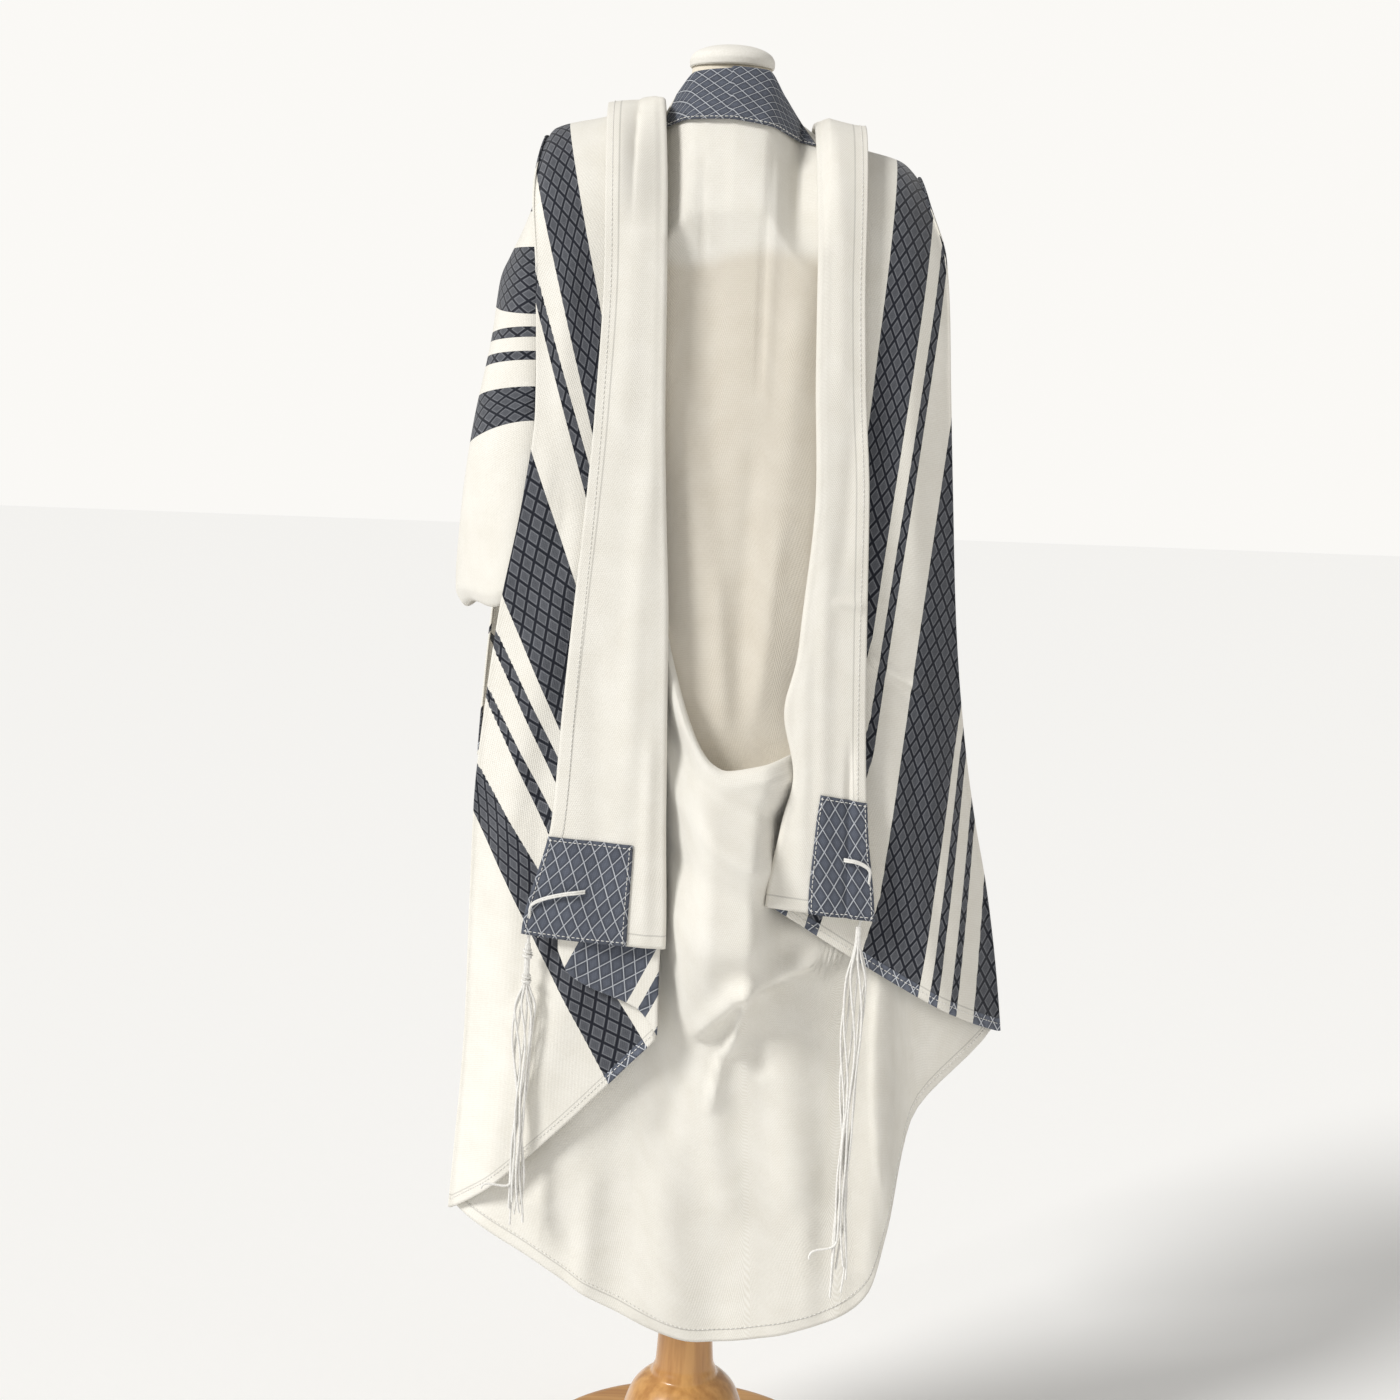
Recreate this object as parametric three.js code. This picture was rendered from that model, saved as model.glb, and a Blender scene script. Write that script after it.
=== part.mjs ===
// Tallit (prayer shawl) folded up onto the shoulders of a limbless dress form that
// stands on a turned wooden post and a round base.
//
// Millimetres, +Z up. The origin is the centre of the base's underside, on the floor.
// The back of the wearer faces -Y, and the wearer's left arm is on the -X side.
//
// The shawl is one rectangle of cloth. Its long top edge goes round the neck, and both
// short ends are folded up onto the shoulders, so that each side lies in three layers:
//   layer 0  the back or front panel, on the body
//   layer 1  the wing, turned back over it with the stripes showing
//   layer 2  the shoulder band, the white end of the cloth, on top
// All layers are laid on one draped form: its half widths, its depths and its shoulder
// line are given in the tables below, and a layer's lift moves it outwards.

import * as THREE from 'three';

// ---------------------------------------------------------------- driving sizes
const CLOTH = 2.0;            // thickness of the woven cloth
const SEAM = 0.3;             // gap between pieces that meet
const RIDGE_START = 1.5;      // where a layer's back and front falls start beside the shoulder line
const ROUND_FALL = 150;       // height over which the cloth rounds off the shoulder
const ROUND_PATH = 190;       // length of cloth on that round
const PLAN_ROUNDNESS = 3;     // exponent of the plan's rounded corners
const NECK_RADIUS = 60;       // cloth round the neck, at the back
const NECK_SIDE = 72;         // where the neck meets the shoulder
const WING_LIFT = 12;         // layer 1 over the body form
const BAND_LIFT = 26;         // layer 2 over the body form
const PATCH_LIFT = CLOTH + 2 * SEAM;  // a sewn piece over the panel under it
const BASE_RADIUS = 190;
const BASE_HEIGHT = 24;
const FORM_BOTTOM = 880;      // underside of the torso
const NECK_TOP = 1626;        // where the neck cap sits
const PANEL_TO_ARM = { from: 140, over: 50 };      // where a lifted layer also moves out over the arm
const COLLAR = { reach: 116, blend: 64, power: 1.15 };  // the back's slope up to the neck
const BRIDGE = { liftFrom: 5, liftOver: 5, left: 1565, right: 1552 };  // folds bridge the neck's slope
const WING_RAISE = {
  low: 8, inner: 5.5, innerShare: 0.15, sideLift: 6, sideFrom: 0.75, sideDown: 0.55, downOver: 0.15,
};
const WING_INSET = 0.012;     // share of its width by which the wing starts outside the band's fold
const BAND_RAISE = { low: 14, fold: -3.5, foldShare: 0.14 };
const SIDE_SEAM = { from: 180, over: 50, drop: 52 };  // the lower panel starts lower at the sides
const COWL_SIDE_PULL = 1.14;  // how much quicker the cowl fades out on the right

const LEFT = -1;
const RIGHT = 1;
const BACK = -1;
const FRONT = 1;

// ---------------------------------------------------------------- draped form
// Half widths of the draped form by height.
const FORM_WIDTH = [
  { z: 200, left: 288, right: 356 },
  { z: 360, left: 286, right: 356 },
  { z: 590, left: 272, right: 352 },
  { z: 750, left: 272, right: 324 },
  { z: 940, left: 280, right: 286 },
  { z: 1110, left: 290, right: 266 },
  { z: 1280, left: 284, right: 262 },
  { z: 1430, left: 272, right: 262 },
  { z: 1640, left: 272, right: 262 },
];

// Depths of the draped form by height, behind and in front of the neck.
const FORM_DEPTH = [
  { z: 200, back: 158, front: 130 },
  { z: 700, back: 156, front: 130 },
  { z: 900, back: 148, front: 130 },
  { z: 1100, back: 138, front: 132 },
  { z: 1300, back: 126, front: 136 },
  { z: 1440, back: 114, front: 126 },
  { z: 1640, back: 104, front: 104 },
];

// Height of the shoulder line, and past the shoulder of the arm's outline, by distance from the middle.
const SHOULDER_LINE = [
  { x: 0, left: 1620, right: 1622 },
  { x: 38, left: 1616, right: 1620 },
  { x: 58, left: 1594, right: 1594 },
  { x: 76, left: 1570, right: 1572 },
  { x: 130, left: 1560, right: 1540 },
  { x: 176, left: 1545, right: 1522 },
  { x: 198, left: 1505, right: 1500 },
  { x: 222, left: 1446, right: 1464 },
  { x: 236, left: 1418, right: 1402 },
  { x: 246, left: 1398, right: 1260 },
  { x: 256, left: 1352, right: 1090 },
  { x: 272, left: 1258, right: 1040 },
  { x: 284, left: 1080, right: 1000 },
];

// ---------------------------------------------------------------- folded layers
// Edges of the folded layers at the back, by height: the band's inner fold, the band's
// free end edge, and the wing's outer fold, as distances from the middle.
const BACK_LEFT = [
  { z: 340, fold: 42, end: 192, wing: 271 },
  { z: 600, fold: 42, end: 192, wing: 254 },
  { z: 700, fold: 42, end: 191, wing: 252 },
  { z: 830, fold: 46, end: 162, wing: 248 },
  { z: 950, fold: 49, end: 154, wing: 236 },
  { z: 1040, fold: 51, end: 147, wing: 224 },
  { z: 1170, fold: 58, end: 136, wing: 200 },
  { z: 1260, fold: 62, end: 130, wing: 190 },
  { z: 1400, fold: 65, end: 125, wing: 194 },
  { z: 1490, fold: 68, end: 127, wing: 202 },
  { z: 1600, fold: 75, end: 132, wing: 186 },
];
const BACK_RIGHT = [
  { z: 560, fold: 77, end: 186, wing: 338 },
  { z: 680, fold: 72, end: 186, wing: 322 },
  { z: 750, fold: 72, end: 182, wing: 310 },
  { z: 830, fold: 84, end: 172, wing: 292 },
  { z: 925, fold: 95, end: 166, wing: 275 },
  { z: 1020, fold: 97, end: 163, wing: 262 },
  { z: 1180, fold: 108, end: 159, wing: 249 },
  { z: 1300, fold: 103, end: 150, wing: 240 },
  { z: 1430, fold: 100, end: 145, wing: 231 },
  { z: 1490, fold: 98, end: 145, wing: 212 },
  { z: 1600, fold: 95, end: 146, wing: 186 },
];
const FRONT_LEFT = [
  { z: 760, fold: 60, end: 178, wing: 268 },
  { z: 900, fold: 56, end: 158, wing: 262 },
  { z: 1100, fold: 62, end: 142, wing: 246 },
  { z: 1300, fold: 70, end: 132, wing: 222 },
  { z: 1490, fold: 74, end: 130, wing: 204 },
  { z: 1600, fold: 75, end: 132, wing: 186 },
];
const FRONT_RIGHT = [
  { z: 760, fold: 66, end: 186, wing: 280 },
  { z: 900, fold: 62, end: 170, wing: 270 },
  { z: 1100, fold: 76, end: 158, wing: 252 },
  { z: 1300, fold: 88, end: 148, wing: 234 },
  { z: 1490, fold: 94, end: 146, wing: 210 },
  { z: 1600, fold: 95, end: 146, wing: 186 },
];

// Lower ends: height at the inner fold, at the band's end edge and at the wing's outer fold.
const FALL = [
  { side: LEFT, face: BACK, edges: BACK_LEFT, bandFold: 698, bandEnd: 706, wingFold: 594, wingOut: 362 },
  { side: RIGHT, face: BACK, edges: BACK_RIGHT, bandFold: 747, bandEnd: 735, wingFold: 744, wingOut: 590 },
  { side: LEFT, face: FRONT, edges: FRONT_LEFT, bandFold: 812, bandEnd: 800, wingFold: 806, wingOut: 850 },
  { side: RIGHT, face: FRONT, edges: FRONT_RIGHT, bandFold: 790, bandEnd: 778, wingFold: 786, wingOut: 838 },
];

// The back panel's lower hem, from the left side fold to the right one.
const BACK_HEM = [
  { u: 0.0, x: -266, z: 364 },
  { u: 0.13, x: -189, z: 332 },
  { u: 0.3, x: -88, z: 276 },
  { u: 0.46, x: 16, z: 240 },
  { u: 0.58, x: 95, z: 250 },
  { u: 0.7, x: 168, z: 272 },
  { u: 0.78, x: 200, z: 300 },
  { u: 0.86, x: 218, z: 372 },
  { u: 0.93, x: 238, z: 498 },
  { u: 1.0, x: 331, z: 594 },
];
const COLUMN = 19;            // spacing of the back panel's columns
const SEAM_LEFT = -11 * COLUMN;  // where the lower back panel starts, left and right
const SEAM_RIGHT = 13 * COLUMN;

// The cowl: the back panel sags between the shoulder bands and folds over on itself.
const COWL = {
  middle: 34, leftEnd: -52, rightEnd: 104, flat: 22,
  sideSeam: 1066, drop: 216, rimRise: 36, rimLift: 44,
};
// How far the cloth below the rim stands out, by height, at the cowl's middle.
const COWL_BULGE = [
  { z: 240, lift: 0 },
  { z: 480, lift: 2 },
  { z: 590, lift: 12 },
  { z: 640, lift: 34 },
  { z: 700, lift: 56 },
  { z: 790, lift: 62 },
  { z: 890, lift: 52 },
  { z: 1060, lift: 14 },
];

const PANEL_HALF = 10 * COLUMN;       // half width of the upper back panel, under the wings
const SLEEVE_START = 194;     // where the loop over the arm leaves the shoulder cloth
const SLEEVE_TOP = 1502;      // where it starts under the wing
const SLEEVE_TURN = 0.88;     // share of its length above the fold at the elbow
const SLEEVE_ROLL = 14;       // height of that fold
const SLEEVE_UNDER = { thick: 2, inset: 8, in: 0.8, deep: 0.6 };  // how the end turns in below it
const SLEEVE_REACH = { least: 4, most: 284, step: 0.5 };  // how far out the arm's outline is looked up
const SLEEVE = [
  { side: LEFT, bottom: 1046, curl: 30 },
  { side: RIGHT, bottom: 1058, curl: 26 },
];

// Torso of the dress form: half width, half depths and height of each ring.
const TORSO = [
  { z: 880, half: 138, back: 92, front: 92 },
  { z: 888, half: 146, back: 98, front: 98 },
  { z: 950, half: 154, back: 106, front: 104 },
  { z: 1040, half: 142, back: 96, front: 94 },
  { z: 1130, half: 128, back: 86, front: 88 },
  { z: 1240, half: 138, back: 92, front: 106 },
  { z: 1340, half: 154, back: 100, front: 114 },
  { z: 1430, half: 166, back: 92, front: 98 },
  { z: 1480, half: 168, back: 74, front: 74 },
  { z: 1508, half: 154, back: 58, front: 56 },
  { z: 1528, half: 122, back: 48, front: 48 },
  { z: 1544, half: 82, back: 44, front: 44 },
  { z: 1562, half: 54, back: 44, front: 43 },
  { z: 1590, half: 45, back: 42, front: 42 },
  { z: 1625.7, half: 43, back: 42, front: 42 },
];

// ---------------------------------------------------------------- helpers
const mix = (a, b, t) => a + (b - a) * t;
const clamp = (v, lo, hi) => Math.min(hi, Math.max(lo, v));
const smooth = (t) => {
  const c = clamp(t, 0, 1);
  return c * c * (3 - 2 * c);
};

/** Value of one column of a table at a given key, on a smooth curve through its rows. */
function read(table, key, column, at) {
  const last = table.length - 1;
  if (at <= table[0][key]) return table[0][column];
  if (at >= table[last][key]) return table[last][column];
  let i = 0;
  while (at > table[i + 1][key]) i += 1;
  const slope = (a, b) => (table[b][column] - table[a][column]) / (table[b][key] - table[a][key]);
  const tangent = (j) => {
    if (j === 0) return slope(0, 1);
    if (j === last) return slope(last - 1, last);
    const before = slope(j - 1, j);
    const after = slope(j, j + 1);
    return before * after <= 0 ? 0 : (2 * before * after) / (before + after);
  };
  const span = table[i + 1][key] - table[i][key];
  const t = (at - table[i][key]) / span;
  const t2 = t * t;
  const t3 = t2 * t;
  return (2 * t3 - 3 * t2 + 1) * table[i][column] + (t3 - 2 * t2 + t) * span * tangent(i)
    + (3 * t2 - 2 * t3) * table[i + 1][column] + (t3 - t2) * span * tangent(i + 1);
}

const sideName = (x) => (x < 0 ? 'left' : 'right');

/** Height of the shoulder line for a layer lifted off the form. */
function shoulderHeight(x, lift) {
  const reach = Math.abs(x) - lift * smooth((Math.abs(x) - PANEL_TO_ARM.from) / PANEL_TO_ARM.over);
  const line = read(SHOULDER_LINE, 'x', sideName(x), reach);
  const bridged = Math.min(line, BRIDGE[sideName(x)]);
  return mix(line, bridged, smooth((lift - BRIDGE.liftFrom) / BRIDGE.liftOver)) + lift;
}

/** Depth of the draped form at a place across and up it, for a lifted layer. */
function formDepth(x, z, lift, face) {
  const width = read(FORM_WIDTH, 'z', sideName(x), z) + lift;
  const depth = read(FORM_DEPTH, 'z', face === BACK ? 'back' : 'front', z) + lift;
  const across = clamp(Math.abs(x) / width, 0, 1);
  const plan = (1 - across ** PLAN_ROUNDNESS) ** (1 / PLAN_ROUNDNESS);
  const drop = clamp((shoulderHeight(x, lift) - z) / ROUND_FALL, 0, 1);
  const collar = smooth((COLLAR.reach - Math.abs(x)) / COLLAR.blend);
  const round = Math.sqrt(drop * (2 - drop));
  const shape = mix(round, drop ** COLLAR.power, face === BACK ? collar : 0);
  const neckWidth = NECK_SIDE + lift;
  const neck = Math.abs(x) < neckWidth
    ? (NECK_RADIUS + lift) * Math.sqrt(1 - (x / neckWidth) ** 2)
    : 0;
  const start = face === BACK ? neck : 0;
  return face * (start + (depth * plan - start) * shape);
}

const onForm = (x, z, lift, face) => new THREE.Vector3(x, formDepth(x, z, lift, face), z);

/** Height after following the cloth down from the shoulder line for a length of path. */
function followDown(x, lift, path) {
  const top = shoulderHeight(x, lift);
  if (path >= ROUND_PATH) return top - ROUND_FALL - (path - ROUND_PATH);
  return top - ROUND_FALL * (1 - Math.cos((path / ROUND_PATH) * (Math.PI / 2)));
}

/** Closed wall of cloth from a grid of points on its outer face. */
function clothWall(grid, thickness = CLOTH) {
  const rows = grid.length;
  const cols = grid[0].length;
  const normalAt = (i, j) => {
    const down = grid[Math.min(i + 1, rows - 1)][j].clone().sub(grid[Math.max(i - 1, 0)][j]);
    const along = grid[i][Math.min(j + 1, cols - 1)].clone().sub(grid[i][Math.max(j - 1, 0)]);
    return along.cross(down).normalize();
  };
  const outer = [];
  const inner = [];
  for (let i = 0; i < rows; i += 1) {
    for (let j = 0; j < cols; j += 1) {
      const p = grid[i][j];
      outer.push(p);
      inner.push(p.clone().addScaledVector(normalAt(i, j), -thickness));
    }
  }
  const count = rows * cols;
  const triangles = [];
  const quad = (a, b, c, d) => triangles.push(a, b, c, a, c, d);
  const id = (i, j) => i * cols + j;
  for (let i = 0; i + 1 < rows; i += 1) {
    for (let j = 0; j + 1 < cols; j += 1) {
      const [a, b, c, d] = [id(i, j), id(i, j + 1), id(i + 1, j + 1), id(i + 1, j)];
      quad(a, b, c, d);
      quad(count + d, count + c, count + b, count + a);
    }
  }
  const rim = [];
  for (let j = 0; j + 1 < cols; j += 1) rim.push(id(0, j));
  for (let i = 0; i + 1 < rows; i += 1) rim.push(id(i, cols - 1));
  for (let j = cols - 1; j > 0; j -= 1) rim.push(id(rows - 1, j));
  for (let i = rows - 1; i > 0; i -= 1) rim.push(id(i, 0));
  rim.forEach((a, k) => {
    const b = rim[(k + 1) % rim.length];
    quad(b, a, count + a, count + b);
  });
  return closedGeometry([...outer, ...inner], triangles);
}

/** Geometry of a closed body, turned right side out if its triangles face inwards. */
function closedGeometry(points, triangles) {
  let volume = 0;
  for (let k = 0; k < triangles.length; k += 3) {
    const [a, b, c] = [0, 1, 2].map((n) => points[triangles[k + n]]);
    volume += a.dot(b.clone().cross(c));
  }
  const index = volume < 0 ? triangles.slice().reverse() : triangles;
  const geometry = new THREE.BufferGeometry();
  geometry.setAttribute('position',
    new THREE.Float32BufferAttribute(points.flatMap((p) => [p.x, p.y, p.z]), 3));
  geometry.setIndex(index);
  geometry.computeVertexNormals();
  return geometry;
}

/** Grid of points from a function of the fractions across and down. */
function gridOf(rows, cols, pointAt) {
  return Array.from({ length: rows + 1 }, (_, i) => Array.from({ length: cols + 1 },
    (__, j) => pointAt(j / cols, i / rows)));
}

/** Grid turned so that its outer face looks away from the body's vertical axis. */
function outwards(grid) {
  const i = Math.floor(grid.length / 2);
  const j = Math.floor(grid[i].length / 2);
  const middle = grid[i][j];
  const along = grid[i][j + 1].clone().sub(middle);
  const normal = along.cross(grid[i + 1][j].clone().sub(middle));
  const away = normal.x * middle.x + normal.y * middle.y;
  return away > 0 ? grid : grid.map((points) => points.slice().reverse());
}

/** Solid skinned over closed rings of equal count, flat at both ends. */
function ringSolid(rings) {
  const count = rings[0].length;
  const points = rings.flat();
  const triangles = [];
  for (let r = 0; r + 1 < rings.length; r += 1) {
    for (let k = 0; k < count; k += 1) {
      const next = (k + 1) % count;
      const [a, b] = [r * count + k, r * count + next];
      const [c, d] = [a + count, b + count];
      triangles.push(a, b, d, a, d, c);
    }
  }
  const capEnd = (ring, flip) => {
    const centre = points.length;
    const middle = new THREE.Vector3();
    rings[ring].forEach((p) => middle.addScaledVector(p, 1 / count));
    points.push(middle);
    for (let k = 0; k < count; k += 1) {
      const [a, b] = [ring * count + k, ring * count + ((k + 1) % count)];
      triangles.push(...(flip ? [centre, b, a] : [centre, a, b]));
    }
  };
  capEnd(0, true);
  capEnd(rings.length - 1, false);
  return closedGeometry(points, triangles);
}

/** Body turned round the vertical axis from a profile that starts and ends on it. */
function turned(profile, segments = 28) {
  const lathe = new THREE.LatheGeometry(profile.map(([r, z]) => new THREE.Vector2(r, z)), segments);
  return lathe.rotateX(Math.PI / 2);
}

// ---------------------------------------------------------------- finishes
const finish = (color, roughness) => new THREE.MeshStandardMaterial({
  color, roughness, metalness: 0, side: THREE.DoubleSide,
});
const WOOL = '#efe9dc';
const STRIPE = '#4a4f59';
const LINEN = '#e6dfd0';
const HONEY_WOOD = '#c98a45';

const shawl = new THREE.Group();

/** Adds one named piece to the model. */
function add(name, geometry, color, roughness = 0.9) {
  const mesh = new THREE.Mesh(geometry, finish(color, roughness));
  mesh.name = name;
  shawl.add(mesh);
}

// ---------------------------------------------------------------- back panel
/** How far the cowl takes hold at a distance across the back: 0 outside it, 1 along its middle. */
function cowlShare(x) {
  const reach = x < COWL.middle ? COWL.middle - COWL.leftEnd : COWL.rightEnd - COWL.middle;
  const away = Math.abs(x - COWL.middle) - COWL.flat;
  return 1 - smooth(away / (reach - COWL.flat));
}

/** Height where the upper back panel ends behind the cowl. */
const panelSeam = (x) => COWL.sideSeam - COWL.drop * cowlShare(x);

function upperBackPanel() {
  return gridOf(12, (2 * PANEL_HALF) / COLUMN, (u, v) => {
    const x = mix(-PANEL_HALF, PANEL_HALF, u);
    const whole = ROUND_PATH + shoulderHeight(x, 0) - ROUND_FALL - panelSeam(x);
    const z = followDown(x, 0, mix(RIDGE_START, whole, v ** 1.2));
    return onForm(x, z, 0, BACK);
  });
}

// Rows of the lower back panel: from the pocket's bottom up over the cowl's rim and down.
const RIM_ROWS = [
  { rise: 0.0, out: 0.0, down: 3 },
  { rise: 0.55, out: 0.5, down: 8 },
  { rise: 0.94, out: 0.88, down: 13 },
  { rise: 1.0, out: 1.0, down: 18 },
  { rise: 0.9, out: 1.14, down: 24 },
  { rise: 0.6, out: 1.25, down: 32 },
];

function lowerBackPanel() {
  const fallRows = 9;
  const rows = RIM_ROWS.length + fallRows;
  const pointAt = (u, row) => {
    const hemX = read(BACK_HEM, 'u', 'x', u);
    const hemZ = read(BACK_HEM, 'u', 'z', u);
    const topX = mix(SEAM_LEFT, SEAM_RIGHT, u);
    const share = cowlShare(topX);
    const edge = smooth((Math.abs(topX) - SIDE_SEAM.from) / SIDE_SEAM.over) * SIDE_SEAM.drop;
    const seam = panelSeam(topX) - edge;
    const rim = RIM_ROWS[Math.min(row, RIM_ROWS.length - 1)];
    const startZ = seam - mix(rim.down, 3, share) + rim.rise * COWL.rimRise * share;
    if (row < RIM_ROWS.length) {
      return onForm(topX, startZ, rim.out * COWL.rimLift * share, BACK);
    }
    const v = (row - RIM_ROWS.length + 1) / fallRows;
    const x = mix(topX, hemX, v);
    const z = mix(startZ, hemZ, v);
    const lift = read(COWL_BULGE, 'z', 'lift', z) * cowlShare(x > COWL.middle ? x * COWL_SIDE_PULL : x);
    return onForm(x, z, lift, BACK);
  };
  const cols = (SEAM_RIGHT - SEAM_LEFT) / COLUMN;
  return gridOf(rows, cols, (u, v) => pointAt(u, Math.round(v * rows)));
}

// ---------------------------------------------------------------- wings and bands
/** Lift of the wing across its width: close to the panel at the side fold, up at the inner one. */
function wingLift(u, v) {
  const raise = WING_RAISE;
  const low = raise.low * smooth((v - 0.5) / 0.5);
  const inner = WING_LIFT + low + raise.inner * (1 - smooth(u / raise.innerShare));
  const outer = smooth((u - raise.sideFrom) / (1 - raise.sideFrom))
    * smooth((v - raise.sideDown) / raise.downOver);
  return mix(inner, raise.sideLift, outer);
}

const FALL_FROM = 1500;       // height from which a fall's start on the shoulder is looked up

/** Point on a folded layer that falls from the shoulder between two edges. */
function fallPoint(fall, inner, outer, bottom, lift, u, v) {
  const across = (z) => fall.side * mix(read(fall.edges, 'z', inner, z), read(fall.edges, 'z', outer, z), u);
  let topX = across(FALL_FROM);
  for (let pass = 0; pass < 4; pass += 1) topX = across(shoulderHeight(topX, lift));
  const whole = ROUND_PATH + shoulderHeight(topX, lift) - ROUND_FALL - bottom;
  const z = followDown(topX, lift, mix(RIDGE_START, whole, v));
  return onForm(across(z), z, lift, fall.face);
}

function wingGrid(fall, rows, cols) {
  return gridOf(rows, cols, (u, v) => {
    const bottom = mix(fall.wingFold, fall.wingOut, u);
    return fallPoint(fall, 'fold', 'wing', bottom, wingLift(u, v), mix(WING_INSET, 1, u), v);
  });
}

/** Lift of the shoulder band: rounded down at its inner fold, further out lower down. */
function bandLift(u, v) {
  const low = BAND_RAISE.low * smooth((v - 0.5) / 0.5);
  return BAND_LIFT + low + BAND_RAISE.fold * (1 - smooth(u / BAND_RAISE.foldShare));
}

function bandGrid(fall, rows, cols) {
  return gridOf(rows, cols, (u, v) => {
    const bottom = mix(fall.bandFold, fall.bandEnd, u);
    return fallPoint(fall, 'fold', 'end', bottom, bandLift(u, v), u, v);
  });
}

const BAND_COLS = 6;          // columns of the band, of which the corner patch covers all but the first
const PATCH_ROWS = 3;         // rows of the band that the corner patch covers

/** Part of a grid moved outwards along its own normals, for a piece sewn on that panel. */
function movedOut(grid, firstRow, lastRow, firstCol, lastCol, distance) {
  return grid.slice(firstRow, lastRow + 1).map((row, i) => row.slice(firstCol, lastCol + 1)
    .map((p, j) => {
      const [r, c] = [firstRow + i, firstCol + j];
      const down = grid[Math.min(r + 1, grid.length - 1)][c].clone().sub(grid[Math.max(r - 1, 0)][c]);
      const along = grid[r][Math.min(c + 1, row.length - 1)].clone().sub(grid[r][Math.max(c - 1, 0)]);
      const normal = along.cross(down).normalize();
      if (normal.x * p.x + normal.y * p.y < 0) normal.negate();
      return p.clone().addScaledVector(normal, distance);
    }));
}

// ---------------------------------------------------------------- front panels
// The neck edge of each front panel, from the shoulder down to the side fold.
const FRONT_EDGE = [
  { v: 0.0, x: 74, z: 1564 },
  { v: 0.15, x: 84, z: 1480 },
  { v: 0.4, x: 112, z: 1300 },
  { v: 0.7, x: 166, z: 1080 },
  { v: 1.0, x: 232, z: 884 },
];

// Its outer edge moves out below the arm, and ends at this height.
const FRONT_SIDE = { x: 246, from: 0.8, over: 0.16, low: 866 };

function frontPanel(side) {
  return gridOf(12, 5, (u, v) => {
    const edgeX = read(FRONT_EDGE, 'v', 'x', v);
    const outerX = mix(PANEL_HALF, FRONT_SIDE.x, smooth((v - FRONT_SIDE.from) / FRONT_SIDE.over));
    const x = side * mix(edgeX, outerX, u);
    const low = mix(read(FRONT_EDGE, 'v', 'z', 1), FRONT_SIDE.low, u);
    const whole = ROUND_PATH + shoulderHeight(x, 0) - ROUND_FALL - low;
    return onForm(x, followDown(x, 0, mix(RIDGE_START, whole, v)), 0, FRONT);
  });
}

// ---------------------------------------------------------------- loops over the arms
/** The cloth that hangs over the upper arm and turns under at elbow height. */
function sleeveLoop({ side, bottom, curl }) {
  return gridOf(11, 14, (u, v) => {
    const fall = Math.min(v / SLEEVE_TURN, 1);
    const under = Math.max((v - SLEEVE_TURN) / (1 - SLEEVE_TURN), 0);
    const roll = SLEEVE_ROLL * Math.sin(under * Math.PI) + SLEEVE_UNDER.thick * under;
    const z = mix(SLEEVE_TOP, bottom + SLEEVE_ROLL, fall) - roll;
    const face = u < 0.5 ? BACK : FRONT;
    const angle = Math.abs(u - 0.5) * Math.PI;
    const widest = sleeveReach(side, z) - curl * under * SLEEVE_UNDER.in;
    const inset = SLEEVE_START + SLEEVE_UNDER.inset * under;
    const x = inset + (widest - inset) * Math.cos(angle);
    const depth = Math.abs(formDepth(side * inset, z, 0, face))
      - curl * under * SLEEVE_UNDER.deep;
    return new THREE.Vector3(side * x, face * depth * Math.sin(angle), z);
  });
}

/** How far out the loop over the arm reaches at a height. */
function sleeveReach(side, z) {
  const line = side === LEFT ? 'left' : 'right';
  let x = SLEEVE_START + SLEEVE_REACH.least;
  while (x < SLEEVE_REACH.most && read(SHOULDER_LINE, 'x', line, x) > z) x += SLEEVE_REACH.step;
  return x;
}

// ---------------------------------------------------------------- atara
// Neckband: how far out it follows the neck edge and its own lower edge, each way from the middle.
const ATARA = [
  { s: 0.0, edgeX: 0, lowX: 2, lowZ: 1566 },
  { s: 0.09, edgeX: 38, lowX: 44, lowZ: 1565 },
  { s: 0.16, edgeX: 58, lowX: 74, lowZ: 1558 },
  { s: 0.2, edgeX: 78, lowX: 94, lowZ: 1556 },
];
const ATARA_ENDS = { left: -0.16, right: 0.195, tilt: 10, tuck: 0.5, gap: 1.6 };

function ataraGrid() {
  return gridOf(5, 15, (u, v) => {
    const s = mix(ATARA_ENDS.left, ATARA_ENDS.right, u);
    const side = s < 0 ? LEFT : RIGHT;
    const edgeX = side * read(ATARA, 's', 'edgeX', Math.abs(s));
    const lowX = side * read(ATARA, 's', 'lowX', Math.abs(s));
    const x = mix(edgeX, lowX, v);
    const top = shoulderHeight(edgeX, 0);
    const tilt = side === RIGHT ? (ATARA_ENDS.tilt * s) / ATARA_ENDS.right : 0;
    const low = read(ATARA, 's', 'lowZ', Math.abs(s)) - tilt;
    return onForm(x, mix(top - ATARA_ENDS.tuck, low, v), PATCH_LIFT + ATARA_ENDS.gap, BACK);
  });
}

// ---------------------------------------------------------------- hem fold and tassels
// The left side's lower hem, folded back so that its other face shows below the band.
const HEM_FOLD = {
  lift: 30.5, top: 716, outerX: -152, innerX: -43, outerLow: 690, innerLow: 600,
};

function hemFold() {
  return gridOf(5, 5, (u, v) => {
    const x = mix(HEM_FOLD.outerX, HEM_FOLD.innerX, u);
    const low = mix(HEM_FOLD.outerLow, HEM_FOLD.innerLow, u);
    return onForm(x, mix(HEM_FOLD.top, low, v), HEM_FOLD.lift, BACK);
  });
}

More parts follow.
